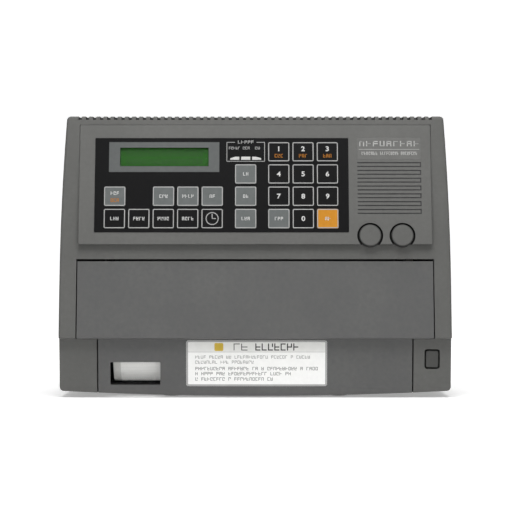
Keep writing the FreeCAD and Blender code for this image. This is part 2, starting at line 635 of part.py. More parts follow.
def control_panel():
    """Raised control panel, open behind, with knob wells, speaker louvres and recesses."""
    body = new_body("control_panel")
    on_panel(body)
    pad(body, "slab", "YZ_Plane", [panel_profile()], "-panel_x", "panel_x")
    upright = lambda e: abs(abs(e.BoundBox.XMin) - value("panel_x")) < 0.01 and e.BoundBox.XLength < 0.01
    soften(body, "sides", "1.2", lambda e: upright(e) and e.BoundBox.YLength < 4)
    front = lambda e: e.BoundBox.ZMin > -0.05 and e.BoundBox.ZMax < 0.05
    soften(body, "rim", "0.8", front)
    hollow = [("hollow_v", "-panel_skin"), ("panel_len - panel_skin", "-panel_skin"),
              ("panel_len - panel_skin", "-40"), ("hollow_v", "-40")]
    cut(body, "hollow", "YZ_Plane", [hollow], "-panel_x + panel_skin", "panel_x - panel_skin")
    skin = box_loop("sheet_x0 - 0.1", "sheet_v0 - 0.1", "sheet_x1 + 0.1", "sheet_v1 + 0.1")
    cut(body, "sheet_recess", "XY_Plane", [skin], "-sheet_sink", "5")
    hole = box_loop("sheet_x0 + ledge", "sheet_v0 + ledge", "sheet_x1 - ledge", "sheet_v1 - ledge")
    cut(body, "key_opening", "XY_Plane", [hole], "-50", "5")
    shelf = box_loop("sheet_x0 + 0.4", "sheet_v0 + 0.4", "sheet_x1 - 0.4", "hollow_v")
    cut(body, "board_room", "XY_Plane", [shelf], "-50", "-board_w")
    wells = [("circle", u, "knob_v", "well_r") for u in knob_spots()]
    cut(body, "wells", "XY_Plane", wells, "-well_dp", "5")
    shafts = [("circle", u, "knob_v", "bush_r") for u in knob_spots()]
    cut(body, "bush_holes", "XY_Plane", shafts, "-50", "0")
    low, high = "grille_v - slit_off - slit / 2", "grille_v + slit_off + slit / 2"
    louvre = [("grille_x0", low), ("grille_x1", low), ("grille_x1", high), ("grille_x0", high),
              ("grille_x0", high + " - slit"), ("grille_x1 - slit", high + " - slit"),
              ("grille_x1 - slit", low + " + slit"), ("grille_x0", low + " + slit")]
    slits = cut(body, "louvre", "XY_Plane", [louvre], "-panel_skin - 1", "5")
    repeat(body, "louvres", slits, "V_Axis", "grille_dv", "7")
    badge = box_loop("grille_x0", "badge_v0", "grille_x1", "badge_v1")
    cut(body, "badge_recess", "XY_Plane", [badge], "-badge_thk", "5")
    rails = [box_loop("sheet_x0 + 0.6", "hollow_v", "sheet_x0 + ledge", "sheet_v1 - 1"),
             box_loop("sheet_x1 - ledge", "hollow_v", "sheet_x1 - 0.6", "sheet_v1 - 1")]
    pad(body, "rails", "XY_Plane", rails, "-board_w", "-panel_skin + 0.5")
    return body


# Keys, display and panel pieces


def key_list():
    """Name and centre of every full-size key, with its row counted up the slope."""
    rows = ["key_v + %d * key_dv" % i for i in range(4)]
    keys = [("menu_key_%d" % (i + 1), "left_u + %d * key_du" % i, rows[0]) for i in range(5)]
    keys += [("mode_key_1", "left_u", rows[1])]
    keys += [("mode_key_%d" % i, "left_u + %d * key_du" % i, rows[1]) for i in (2, 3, 4)]
    keys += [("side_key_%d" % (i + 1), "mid_u", rows[i]) for i in range(3)]
    for digit in range(1, 10):
        column, row = (digit - 1) % 3, 3 - (digit - 1) // 3
        keys.append(("digit_key_%d" % digit, "pad_u + %d * key_du" % column, rows[row]))
    keys += [("clear_key", "pad_u", rows[0]), ("digit_key_0", "pad_u + key_du", rows[0]),
             ("start_key", "pad_u + 2 * key_du", rows[0])]
    return keys


def push_key(name, u, v):
    """One full-size key pad, its face just proud of the overlay."""
    body = new_body(name)
    on_panel(body, u, v)
    face = soft_loop("-key_w / 2", "-key_ht / 2", "key_w / 2", "key_ht / 2", "key_r")
    pad(body, "block", "XY_Plane", [face], "-key_under", "key_top")
    top = lambda e: e.BoundBox.ZMin > value("key_top") - 0.05
    soften(body, "edge", "0.4", top)
    return body


def switch_spots():
    """Centres of the three power keys across the panel."""
    return ["switch_u + %d * switch_du" % i for i in range(3)]


def power_key(number, u):
    """One small power key; the outer two have slanting tops that rise towards the middle one."""
    body = new_body("power_key_%d" % number)
    on_panel(body, u, "switch_v")
    left, right, low, high = "-switch_w / 2", "switch_w / 2", "-switch_ht / 2", "switch_ht / 2"
    faces = {1: [(left, low), (right, low), (right, high), (left + " + 5", high), (left, "0")],
             2: box_loop(left, low, right, high),
             3: [(left, low), (right, low), (right, "0"), (right + " - 5", high), (left, high)]}
    pad(body, "tab", "XY_Plane", [faces[number]], "-key_under", "key_top + 0.8")
    return body


def key_overlay():
    """Thin overlay with a window for every key and for the display."""
    body = new_body("key_overlay")
    on_panel(body)
    edge = soft_loop("sheet_x0", "sheet_v0", "sheet_x1", "sheet_v1", "1")
    pad(body, "film", "XY_Plane", [edge], "-sheet_sink", "sheet_thk - sheet_sink")
    for name, u, v in key_list():
        window = soft_loop(*centred(u, v, "key_w", "key_ht", "fit_gap"), "key_r + fit_gap")
        cut(body, name + "_window", "XY_Plane", [window], "-5", "5")
    slots = [box_loop(*centred(u, "switch_v", "switch_w", "switch_ht", "fit_gap")) for u in switch_spots()]
    cut(body, "power_windows", "XY_Plane", slots, "-5", "5")
    view = soft_loop(*centred("lcd_u", "lcd_v", "lcd_w", "lcd_ht"), "1")
    cut(body, "display_hole", "XY_Plane", [view], "-5", "5")
    return body


def display_window():
    """Clear lens glued behind the overlay's display hole."""
    body = new_body("display_window")
    on_panel(body)
    lens = box_loop(*centred("lcd_u", "lcd_v", "lcd_w", "lcd_ht", "lens_lap"))
    pad(body, "lens", "XY_Plane", [lens], "-sheet_sink - lens_thk", "-sheet_sink")
    return body


def display_module():
    """Liquid crystal module standing on the board behind the lens."""
    body = new_body("display_module")
    on_panel(body)
    frame = box_loop(*centred("lcd_u", "lcd_v", "lcd_w", "lcd_ht", "1.6"))
    pad(body, "frame", "XY_Plane", [frame], "-board_w", "-sheet_sink - lens_thk - 0.2")
    glass = box_loop(*centred("lcd_u", "lcd_v", "lcd_w - 2", "lcd_ht - 2"))
    cut(body, "glass", "XY_Plane", [glass], "-sheet_sink - lens_thk - 0.5", "0")
    return body


def main_board():
    """Key and control board fixed to the rails behind the panel."""
    body = new_body("main_board")
    on_panel(body)
    plate = box_loop("sheet_x0 + 0.8", "sheet_v0 + 1", "sheet_x1 - 0.8", "sheet_v1 - 1")
    pad(body, "plate", "XY_Plane", [plate], "-board_w - board_thk", "-board_w")
    chips = [box_loop("%d" % x, "%d" % v, "%d" % (x + 14), "%d" % (v + 10)) for x in (-120, -70, -20, 40)
             for v in (45, 72)]
    pad(body, "chips", "XY_Plane", chips, "-board_w - board_thk - 3", "-board_w - board_thk + 0.4")
    return body


def name_badge():
    """Thin blank badge plate let into the panel above the speaker."""
    body = new_body("name_badge")
    on_panel(body)
    plate = box_loop("grille_x0 + 0.1", "badge_v0 + 0.1", "grille_x1 - 0.1", "badge_v1 - 0.1")
    pad(body, "plate", "XY_Plane", [plate], "-badge_thk", "0.05")
    return body


def speaker():
    """Round loudspeaker behind the louvres: a flanged basket with its magnet."""
    body = new_body("speaker")
    on_panel(body)
    u, v = "(grille_x0 + grille_x1) / 2", "grille_v + 3 * grille_dv"
    pad(body, "frame", "XY_Plane", [["circle", u, v, "speaker_r"]], "-panel_skin - 5", "-panel_skin")
    pad(body, "basket", "XY_Plane", [["circle", u, v, "speaker_r - 8"]], "-panel_skin - 12", "-panel_skin - 4")
    pad(body, "magnet", "XY_Plane", [["circle", u, v, "speaker_r - 13"]],
        "-panel_skin - speaker_l", "-panel_skin - 11")
    cut(body, "mouth", "XY_Plane", [["circle", u, v, "speaker_r - 3"]], "-panel_skin - 3.5", "0")
    return body


def knob(name, u):
    """One round knob on its potentiometer spindle."""
    body = new_body(name)
    on_panel(body, u, "knob_v")
    pad(body, "disc", "XY_Plane", [["circle", "0", "0", "knob_r"]], "-knob_under", "knob_top")
    rim = lambda e: e.BoundBox.ZMin > value("knob_top") - 0.05
    soften(body, "rim", "1.3", rim)
    bore = [["circle", "0", "0", "spindle_r + run_gap"]]
    cut(body, "bore", "XY_Plane", bore, "-knob_under - 1", "-1")
    return body


def potentiometers():
    """Two identical potentiometers with their bushes and spindles behind the knobs."""
    body = new_body("potentiometers")
    on_panel(body)
    back = "-panel_foot - 0.8"
    cans = [["circle", u, "knob_v", "spindle_r + 5"] for u in knob_spots()]
    pad(body, "cans", "XY_Plane", cans, back + " - 9", back)
    bushes = [["circle", u, "knob_v", "bush_r"] for u in knob_spots()]
    pad(body, "bushes", "XY_Plane", bushes, back + " - 1", "-well_dp")
    spindles = [["circle", u, "knob_v", "spindle_r"] for u in knob_spots()]
    pad(body, "spindles", "XY_Plane", spindles, "-well_dp - 1", "-1.5")
    return body


# Door and everything that rides on it


def paper_door():
    """T-shaped door: a wide upper leaf at the ridge and a lower leaf down to the lip."""
    body = new_body("paper_door")
    inner = add(lean_d("ridge_z + 3"), "door_wall")
    leaf = yz([("step_d - 3", "step_z"), ("0", "ridge_z"), (lean_d("leaf_z"), "leaf_z"),
               (lean_d("leaf_z", "door_wall"), "leaf_z"), (inner, "ridge_z + 3"), ("step_d - 3", "ridge_z + 3")])
    pad(body, "leaf", "YZ_Plane", [leaf], "-leaf_x", "leaf_x")
    lower = yz([("lip_d", "lip_z"), ("step_d", "step_z"), ("step_d - 4", "step_z + 0.6"),
                ("step_d - 4", "ridge_z + 3"), (lower_d("ridge_z + 3", "door_wall"), "ridge_z + 3"),
                (lower_d("lip_z", "door_wall"), "lip_z")])
    pad(body, "skirt", "YZ_Plane", [lower], "-door_x", "door_x")
    arms = [["circle", less("hinge_d", MID), "hinge_z", "knuckle_r"]]
    pad(body, "right_knuckle", "YZ_Plane", arms, "door_x - knuckle_l", "door_x")
    pad(body, "left_knuckle", "YZ_Plane", arms, "-door_x", "-door_x + knuckle_l")
    rise = "lip_z + bow_r - sqrt(bow_r * bow_r - case_w * case_w / 4)"
    below = [("-case_w / 2", rise, "bow_r", 1), ("case_w / 2", rise), ("case_w / 2", "-20"),
             ("-case_w / 2", "-20")]
    cut(body, "bow", "XZ_Plane", [below], *depth("-5", "60"))
    bore = [["circle", less("hinge_d", MID), "hinge_z", "hinge_r + run_gap"]]
    cut(body, "right_bore", "YZ_Plane", bore, "door_x - knuckle_l + 2", "door_x + 1")
    cut(body, "left_bore", "YZ_Plane", bore, "-door_x - 1", "-door_x + knuckle_l - 2")
    view = soft_loop("win_x0", "win_z0", "win_x1", "win_z1", "1")
    cut(body, "window", "XZ_Plane", [view], *depth("-5", "lip_d + 12"))
    lugs = yz([(lean_d("platen_z - 16", "1"), "platen_z - 18"), (lean_d("platen_z", "1"), "platen_z - 4"),
               ("head_foot + 4", "platen_z - 4"), ("head_foot + 4", "platen_z - 14"),
               ("head_foot", "platen_z - 18")])
    lugs = [(less(d.replace("head_foot", head_front()), "0"), z) for d, z in lugs]
    pad(body, "right_lug", "YZ_Plane", [lugs], "platen_x + 4.5", "platen_x + 7.5")
    pad(body, "left_lug", "YZ_Plane", [lugs], "-platen_x - 7.5", "-platen_x - 4.5")
    pivot = head_pivot()
    hole = [["circle", less(pivot[0], MID), pivot[1], "head_pin_r + run_gap"]]
    cut(body, "lug_bores", "YZ_Plane", hole, "-platen_x - 9", "platen_x + 9")
    catch = yz([(lean_d("ridge_z + 6", "2"), "ridge_z + 3"), ("20", "ridge_z + 3"), ("20", "ridge_z + 8.5"),
                ("17.5", "ridge_z + 8.5"), ("17.5", "ridge_z + 6"), (lean_d("ridge_z + 6", "2"), "ridge_z + 6")])
    pad(body, "catch", "YZ_Plane", [catch], "push_u - 8", "push_u")
    ridge = lambda e: runs_along(e, "x") and near(e.BoundBox.ZMin, "ridge_z")
    soften(body, "ridge", "0.8", lambda e: ridge(e) and near(e.BoundBox.YMin, less("0", MID)))
    return body


def head_front():
    """Depth of the thermal head's front face."""
    return "(platen_d - platen_r - head_gap - head_dp)"


def head_pivot():
    """Depth and height of the thermal head's pivot."""
    return head_front() + " + 2.5", "platen_z - head_ht / 2 - 1"


def thermal_head():
    """Thermal print head: a flat bar on two pivot pins, its heater line facing the platen."""
    body = new_body("thermal_head")
    back = head_front()
    bar = yz([(back, "platen_z - head_ht / 2 - 3"), (add(back, "5"), "platen_z - head_ht / 2 - 3"),
              (add(back, "head_dp"), "platen_z - head_ht / 2 + 2"), (add(back, "head_dp"), "platen_z + head_ht / 4"),
              (add(back, "3"), "platen_z + head_ht / 4"), (add(back, "3"), "platen_z + head_ht / 4 - 3"),
              (back, "platen_z + head_ht / 4 - 3")])
    pad(body, "bar", "YZ_Plane", [bar], "-platen_x - 1", "platen_x + 1")
    pivot = head_pivot()
    pin = [["circle", less(pivot[0], MID), pivot[1], "head_pin_r"]]
    pad(body, "pins", "YZ_Plane", pin, "-platen_x - 7", "platen_x + 7")
    return body


def door_window():
    """Clear pane glued behind the door's paper window."""
    body = new_body("door_window")
    on_lower(body)
    back = less("door_wall * cos(lower_tilt)", "0")
    foot = "(%s - lip_z) / cos(lower_tilt)"
    pane = box_loop("win_x0 - pane_lap", foot % "win_z0" + " - pane_lap + 0.6", "win_x1 + pane_lap",
                    foot % "win_z1" + " + pane_lap")
    pad(body, "pane", "XY_Plane", [pane], "-(%s) - pane_thk" % back, "-(%s)" % back)
    return body


def door_label():
    """Printed warning label stuck on the lower leaf."""
    body = new_body("door_label")
    on_lower(body)
    edge = soft_loop("label_x0", "label_v0", "label_x1", "label_v1", "label_r")
    pad(body, "label", "XY_Plane", [edge], "0", "label_thk")
    return body


def hinge_pins():
    """Two steel pins pressed into the end caps, carrying the door."""
    body = new_body("hinge_pins")
    pin = [["circle", less("hinge_d", MID), "hinge_z", "hinge_r"]]
    pad(body, "right_pin", "YZ_Plane", pin, "door_x - knuckle_l + 3", "cap_x + case_wall")
    side = pad(body, "left_pin", "YZ_Plane", pin, "-cap_x - case_wall", "-door_x + knuckle_l - 3")
    body.Tip = side
    return body


# Release button and latch


def release_button():
    """Release button with a flange behind the casing and a wedge at its tail."""
    body = new_body("release_button")
    on_lower(body)
    face = soft_loop(*centred("push_u", "push_v", "push_w", "push_ht"), "1.5")
    pad(body, "cap", "XY_Plane", [face], "-8", "0.2")
    soften(body, "edge", "0.6", lambda e: e.BoundBox.ZMin > 0.15)
    flange = soft_loop(*centred("push_u", "push_v", "push_w", "push_ht", "push_ring + 1"), "2.5")
    pad(body, "flange", "XY_Plane", [flange], "-11", "-8")
    return body


def latch_slide():
    """Latch that the button's wedge lifts: a bar with a hook over the door's catch."""
    body = new_body("latch_slide")
    back = "latch_d + latch_dp"
    hook = yz([("latch_d", "ridge_z - 30"), (back, "ridge_z - 30"), (back, "ridge_z + 14"),
               ("13.5", "ridge_z + 14"), ("13.5", "ridge_z + 6.5"), ("17", "ridge_z + 6.5"),
               ("17", "ridge_z + 10.5"), ("latch_d", "ridge_z + 10.5")])
    pad(body, "hook", "YZ_Plane", [hook], "push_u - 8", "push_u")
    return body


# Paper and drive


def paper_roll():
    """Recording paper wound on its core."""
    body = new_body("paper_roll")
    across(body, "0", "roll_d", "roll_z")
    pad(body, "roll", "XY_Plane", [["circle", "0", "0", "roll_r"]], "-roll_x", "roll_x")
    cut(body, "bore", "XY_Plane", [["circle", "0", "0", "core_r"]], "-roll_x - 1", "roll_x + 1")
    return body


def roll_core():
    """Paper holder: a tube with a flange and a journal at each end."""
    body = new_body("roll_core")
    across(body, "0", "roll_d", "roll_z")
    pad(body, "tube", "XY_Plane", [["circle", "0", "0", "core_r"]], "-roll_x", "roll_x")
    for name, low, high in (("left", "-roll_x - flange_w", "-roll_x"), ("right", "roll_x", "roll_x + flange_w")):
        pad(body, name + "_flange", "XY_Plane", [["circle", "0", "0", "flange_r"]], low, high)
    end = "cheek_x + cheek_w"
    pad(body, "journals", "XY_Plane", [["circle", "0", "0", "journal_r"]], "-(%s)" % end, end)
    return body


def platen_roller():
    """Rubber sleeve of the platen."""
    body = new_body("platen_roller")
    across(body, "0", "platen_d", "platen_z")
    pad(body, "sleeve", "XY_Plane", [["circle", "0", "0", "platen_r"]], "-platen_x", "platen_x")
    cut(body, "bore", "XY_Plane", [["circle", "0", "0", "shaft_r"]], "-platen_x - 1", "platen_x + 1")
    return body


def platen_shaft():
    """Steel shaft through the platen, running in the side plates and carrying its gear."""
    body = new_body("platen_shaft")
    across(body, "0", "platen_d", "platen_z")
    pad(body, "shaft", "XY_Plane", [["circle", "0", "0", "shaft_r"]],
        "-cheek_x - cheek_w - 1.5", "gear_x + gear_w + 2")
    return body


def gear(name, count, bore, spot, phase):
    """Spur gear with straight-sided teeth, the first one at an angle from its local X axis."""
    body = new_body(name)
    across(body, "gear_x", *spot)
    root = "gear_m * %s / 2 - 1.15 * gear_m" % count
    tip = "gear_m * %s / 2 + 0.75 * gear_m" % count
    pad(body, "disc", "XY_Plane", [["circle", "0", "0", root]], "0", "gear_w")

    def spun(reach, offset):
        """Point at a reach along the first tooth and an offset across it."""
        return ("(%s) * cos(%s) - (%s) * sin(%s)" % (reach, phase, offset, phase),
                "(%s) * sin(%s) + (%s) * cos(%s)" % (reach, phase, offset, phase))

    foot = less(root, "0.4")
    corners = [spun(foot, "-0.85 * gear_m"), spun(tip, "-0.3 * gear_m"),
               spun(tip, "0.3 * gear_m"), spun(foot, "0.85 * gear_m")]
    tooth = pad(body, "tooth", "XY_Plane", [corners], "0", "gear_w")
    spin(body, "teeth", tooth, count)
    hole = cut(body, "bore", "XY_Plane", [["circle", "0", "0", bore]], "-1", "gear_w + 1")
    body.Tip = hole
    return body


def drive_motor():
    """Stepper motor standing against the right side plate, its shaft passing through."""
    body = new_body("drive_motor")
    across(body, "0", *pinion_spot())
    can = [["circle", "0", "0", "motor_r"]]
    pad(body, "can", "XY_Plane", can, "cheek_x - motor_l", "cheek_x")
    return body


def motor_pinion():
    """Motor shaft and pinion, turning as one piece."""
    body = gear("motor_pinion", "pinion_n", "motor_shaft_r - 1", pinion_spot(), "180 + gear_a + 180 / pinion_n")
    shaft = pad(body, "shaft", "XY_Plane", [["circle", "0", "0", "motor_shaft_r"]],
                "cheek_x - gear_x + 0.3", "gear_w + 1")
    body.Tip = shaft
    return body


# Rear pieces and hardware


def power_supply():
    """Boxed power supply standing against the rear cover, with cooling fins."""
    body = new_body("power_supply")
    box = box_loop("supply_x0", "supply_z0", "supply_x1", "supply_z1")
    back = "case_dp - case_wall"
    pad(body, "case", "XZ_Plane", [box], *depth(back + " - supply_dp", back))
    fin = box_loop("supply_x0 + 4", "supply_z0 + 4", "supply_x0 + 6", "supply_z1 - 4")
    first = pad(body, "fin", "XZ_Plane", [fin], *depth(back + " - supply_dp - 6", back + " - supply_dp + 1"))
    repeat(body, "fins", first, "H_Axis", "8", "13")
    return body


def aerial_socket():
    """Coaxial aerial socket through the recess wall: flange, threaded barrel and contact well."""
    body = new_body("aerial_socket")
    rearward(body, "aerial_u", "case_dp - dock_dp", "port_z")
    pad(body, "flange", "XY_Plane", [soft_loop("-11", "-11", "11", "11", "2")], "0", "2")
    pad(body, "tail", "XY_Plane", [["circle", "0", "0", "aerial_r - port_wall / 2"]], "-9", "1")
    pad(body, "barrel", "XY_Plane", [["circle", "0", "0", "aerial_r"]], "1", "port_l")
    cut(body, "well", "XY_Plane", [["circle", "0", "0", "aerial_r - port_wall"]], "3", "port_l + 1")
    pad(body, "contact", "XY_Plane", [["circle", "0", "0", "2.5"]], "2", "13")
    cut(body, "contact_bore", "XY_Plane", [["circle", "0", "0", "1.5"]], "5", "14")
    return body


def power_inlet():
    """Round four-pin power inlet through the recess wall."""
    body = new_body("power_inlet")
    rearward(body, "inlet_u", "case_dp - dock_dp", "port_z")
    pad(body, "flange", "XY_Plane", [["circle", "0", "0", "15"]], "0", "2")
    pad(body, "barrel", "XY_Plane", [["circle", "0", "0", "inlet_r"]], "-9", "port_l")
    cut(body, "well", "XY_Plane", [["circle", "0", "0", "inlet_r - port_wall"]], "3", "port_l + 1")
    pins = [["circle", x, y, "1.3"] for x, y in (("4", "4"), ("-4", "4"), ("-4", "-4"), ("4", "-4"))]
    pad(body, "pins", "XY_Plane", pins, "2", "11")
    return body


def rubber_feet():
    """Four rubber feet under the cabinet."""
    body = new_body("rubber_feet")
    spots = []
    for side in ("", "-"):
        spots.append(["circle", side + "foot_x0", less("foot_d0", MID), "foot_r"])
        spots.append(["circle", side + "foot_x1", less("foot_d1", MID), "foot_r"])
    pad(body, "feet", "XY_Plane", spots, "0", "base_z")
    return body


def casing_screws():
    """Four long screws that hold the rear cover to the front casing."""
    body = new_body("casing_screws")
    spots = []
    for side in ("", "-"):
        for high in ("post_z0", "post_z1"):
            spots.append((side + "post_x", high))
    heads = [["circle", x, z, "screw_head_r"] for x, z in spots]
    pad(body, "heads", "XZ_Plane", heads, *depth("split_d + 20", "split_d + 22.5"))
    shanks = [["circle", x, z, "screw_r"] for x, z in spots]
    pad(body, "shanks", "XZ_Plane", shanks, *depth("split_d + 21 - screw_l", "split_d + 21"))
    return body


def build_all():
    """Build every sub-part."""
    front_casing()
    rear_cover()
    paper_bay()
    control_panel()
    key_overlay()
    display_window()
    display_module()
    main_board()
    speaker()
    name_badge()
    for side, u in zip(("volume_knob", "contrast_knob"), knob_spots()):
        knob(side, u)
    potentiometers()
    for name, u, v in key_list():
        push_key(name, u, v)
    for number, u in enumerate(switch_spots(), 1):
        power_key(number, u)
    paper_door()
    thermal_head()
    door_window()
    door_label()
    hinge_pins()
    release_button()
    latch_slide()
    paper_roll()
    roll_core()
    platen_roller()
    platen_shaft()
    drive_motor()
    motor_pinion()
    gear("idler_gear", "idler_n", "hinge_r + run_gap", idler_spot(), "90 + gear_a")
    gear("platen_gear", "drum_n", "shaft_r", ("platen_d", "platen_z"), "gear_a - 90 + 180 / drum_n")
    power_supply()
    aerial_socket()
    power_inlet()
    rubber_feet()
    casing_screws()


def write_all():
    """Check every object, then write one file for each sub-part."""
    DOC.recompute()
    for item in DOC.Objects:
        if "Invalid" in item.State or "Error" in item.State:
            raise SystemExit("%s did not build: %s" % (item.Label, item.State))
    for node in NODES:
        if node.Shape.isNull() or not node.Shape.isValid():
            raise SystemExit("%s has no valid shape" % node.Label)
    os.makedirs("parts", exist_ok=True)
    for node in NODES:
        node.Shape.exportStep("parts/%s.step" % node.Label)
    print("%d sub-parts written" % len(NODES))


build_all()
write_all()
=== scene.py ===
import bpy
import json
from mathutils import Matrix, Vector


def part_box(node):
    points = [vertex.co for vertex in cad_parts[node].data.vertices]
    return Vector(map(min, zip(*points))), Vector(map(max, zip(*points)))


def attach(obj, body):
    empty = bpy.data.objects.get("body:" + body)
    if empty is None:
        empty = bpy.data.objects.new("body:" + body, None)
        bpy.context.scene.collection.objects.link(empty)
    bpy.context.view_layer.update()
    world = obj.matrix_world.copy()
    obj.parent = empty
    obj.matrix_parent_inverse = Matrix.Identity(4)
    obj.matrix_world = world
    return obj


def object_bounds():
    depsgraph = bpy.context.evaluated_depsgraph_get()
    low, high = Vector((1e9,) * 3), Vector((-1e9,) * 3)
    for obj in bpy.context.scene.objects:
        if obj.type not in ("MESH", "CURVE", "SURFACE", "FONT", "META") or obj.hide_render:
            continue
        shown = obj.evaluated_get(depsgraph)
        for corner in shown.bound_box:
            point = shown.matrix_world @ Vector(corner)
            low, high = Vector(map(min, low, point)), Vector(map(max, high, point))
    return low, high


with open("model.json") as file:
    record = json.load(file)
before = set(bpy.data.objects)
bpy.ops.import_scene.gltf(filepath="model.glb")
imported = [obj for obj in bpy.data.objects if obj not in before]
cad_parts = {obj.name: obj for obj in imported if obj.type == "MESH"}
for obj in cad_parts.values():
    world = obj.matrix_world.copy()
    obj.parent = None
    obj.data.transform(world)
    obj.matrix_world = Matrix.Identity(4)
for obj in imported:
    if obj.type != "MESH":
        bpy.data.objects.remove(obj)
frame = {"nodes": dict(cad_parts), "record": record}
cad_box = [list(corner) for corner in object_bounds()]

# %% [markdown]
# # A chart-paper fax receiver
# The engineering model is already in the scene: every moulding, key and gear stands where it belongs.
# This lesson gives each of them a believable finish, and adds the printing: key frames, digits, stand-in
# letters, the display's cells and the label's lines. The printing could be an image texture, but thin
# printed shapes stay sharp at any distance and need no file, so each is made as a very thin slab.

# %% Tools
import json
import math
import bpy
import numpy as np

record = frame["record"]
joints = {joint["name"]: joint for joint in record["behaviour"]["joints"]}
MM = 0.001
print("nodes:", len(frame["nodes"]), "joints:", len(joints))


# %% [markdown]
# ## Two planes to draw on
# Nearly all the printing lies on one of two sloping faces: the control panel and the lower door. A plane
# here is an origin and three unit directions: across, up the slope, and out of the face. The panel's
# direction comes from the knob's turning axis, so the drawing follows the engineering model.

# %% Planes
def make_plane(origin, normal):
    """Plane through a point: across is +X, and up the slope is the normal crossed with it."""
    normal = np.array(normal, float)
    normal /= np.linalg.norm(normal)
    across = np.array((1.0, 0.0, 0.0))
    return np.array(origin, float), across, np.cross(normal, across), normal


def place(plane, points):
    """World points: origin + a * across + b * up + c * out, for rows of a, b, c in millimetres."""
    origin, across, up, out = plane
    p = np.asarray(points, float) * MM
    return origin + p[:, :1] * across + p[:, 1:2] * up + p[:, 2:3] * out


def flat_coordinates(plane, point):
    """Millimetres across and up the slope of a world point on a plane."""
    away = np.array(point) - plane[0]
    return float(away @ plane[1]) / MM, float(away @ plane[2]) / MM


knob_turn = joints["volume_turn"]
panel = make_plane((0.0, knob_turn["pos_m"][1], knob_turn["pos_m"][2]), knob_turn["axis"])
press = np.array(joints["release_press"]["axis"])
label_low, label_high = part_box("door_label")
skirt = make_plane((0.0, label_low[1], label_high[2]), -press)
print("panel leans back by", round(math.degrees(math.asin(panel[3][2])), 2), "degrees")


def node_centre(name):
    """Middle of a node's box."""
    low, high = (np.array(corner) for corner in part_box(name))
    return (low + high) / 2


# %% [markdown]
# ## Colours and nodes
# Paint and ink are given as hex codes, which are display values. The renderer works with linear light, so
# one function converts them. A second small function adds a shader node with its settings and links, and
# every material below is built with it.

# %% Colour and node helpers
def linear(code):
    """Linear colour from a hex code: (c + 0.055) / 1.055 to the power 2.4, or c / 12.92 when dark."""
    c = np.array([int(code[i:i + 2], 16) for i in (0, 2, 4)]) / 255
    return (*np.where(c <= 0.04045, c / 12.92, ((c + 0.055) / 1.055) ** 2.4), 1.0)


def node(tree, kind, inputs=None, **settings):
    """Add a node; an input is a value, or another node's output."""
    item = tree.nodes.new(kind)
    for name, setting in settings.items():
        setattr(item, name, setting)
    for name, source in (inputs or {}).items():
        if isinstance(source, bpy.types.NodeSocket):
            tree.links.new(source, item.inputs[name])
        else:
            item.inputs[name].default_value = source
    return item


def start_material(name):
    """Empty material with its output node and the object's own coordinates."""
    material = bpy.data.materials.new(name)
    material.use_nodes = True
    material.node_tree.nodes.clear()
    tree = material.node_tree
    output = node(tree, "ShaderNodeOutputMaterial")
    place_node = node(tree, "ShaderNodeTexCoord")
    return material, tree, output, place_node.outputs["Object"]


# %% [markdown]
# ## Moulded plastic
# The cabinet is ABS, moulded in a tool whose faces were spark-eroded. That leaves a fine pebble grain, so
# the surface has a broad, soft highlight. The grain is really about 0.3 mm; it is drawn at 1.1 mm, because
# anything finer vanishes at this distance. A wide, faint cloud of colour stands for uneven fading, and a
# finer one for dust and handling. Big mouldings are rubbed lighter along their edges. Faces that turn
# towards the cabinet's middle, the insides and the walls of recesses, get painted shade: a dark colour
# mixed in where shade falls. The line where the two halves of the cabinet meet shows dark, because light
# doesn't come back out of a joint. The wells round the knobs get the same painted shade, and the knobs'
# shoulders get a ring of painted shade. Each of these is a mask from 0 to 1, worked out from where a point
# lies, and a mask mixes its dark colour over the colour below.

# %% Masks for painted shade and the seam
WELL_REACH, WELL_START = 12.5, -0.4
SHOULDER_START, SHOULDER_END, SHOULDER_SHADE_SHARE = 9.1, 10.4, 0.85
SHOULDER_SHADE = "1c1c1c"
SEAM_WIDTH = 0.5


def inside_mask(tree, where):
    """Painted shade inside: 1 where the surface faces the cabinet's middle, normal . (point - middle) < 0,
    over a soft step.
    """
    normal = node(tree, "ShaderNodeNewGeometry").outputs["True Normal"]
    middle = (np.array(cad_box[0]) + np.array(cad_box[1])) / 2
    away = node(tree, "ShaderNodeVectorMath", {0: where, 1: tuple(middle)}, operation="SUBTRACT")
    facing = node(tree, "ShaderNodeVectorMath", {0: normal, 1: away.outputs[0]}, operation="DOT_PRODUCT")
    return node(tree, "ShaderNodeMapRange", {"Value": facing.outputs["Value"], "From Min": -0.004,
                                             "From Max": -0.016, "To Min": 0.0, "To Max": 1.0}).outputs[0]


def seam_mask(tree, where):
    """1 where the two cabinet halves meet: |y - seam| less than half the line's width."""
    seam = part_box("rear_cover")[0][1]
    depth = node(tree, "ShaderNodeSeparateXYZ", {0: where}).outputs["Y"]
    return node(tree, "ShaderNodeMath", {0: depth, 1: seam, 2: SEAM_WIDTH / 2 * MM},
                operation="COMPARE").outputs[0]


def from_axis(tree, where, centre):
    """Offset from a knob's centre, and the distance from its axis: |(point - centre) x n|."""
    out = tuple(panel[3])
    away = node(tree, "ShaderNodeVectorMath", {0: where, 1: tuple(centre)}, operation="SUBTRACT").outputs[0]
    aside = node(tree, "ShaderNodeVectorMath", {0: away, 1: out}, operation="CROSS_PRODUCT").outputs[0]
    return away, node(tree, "ShaderNodeVectorMath", {0: aside}, operation="LENGTH").outputs["Value"]


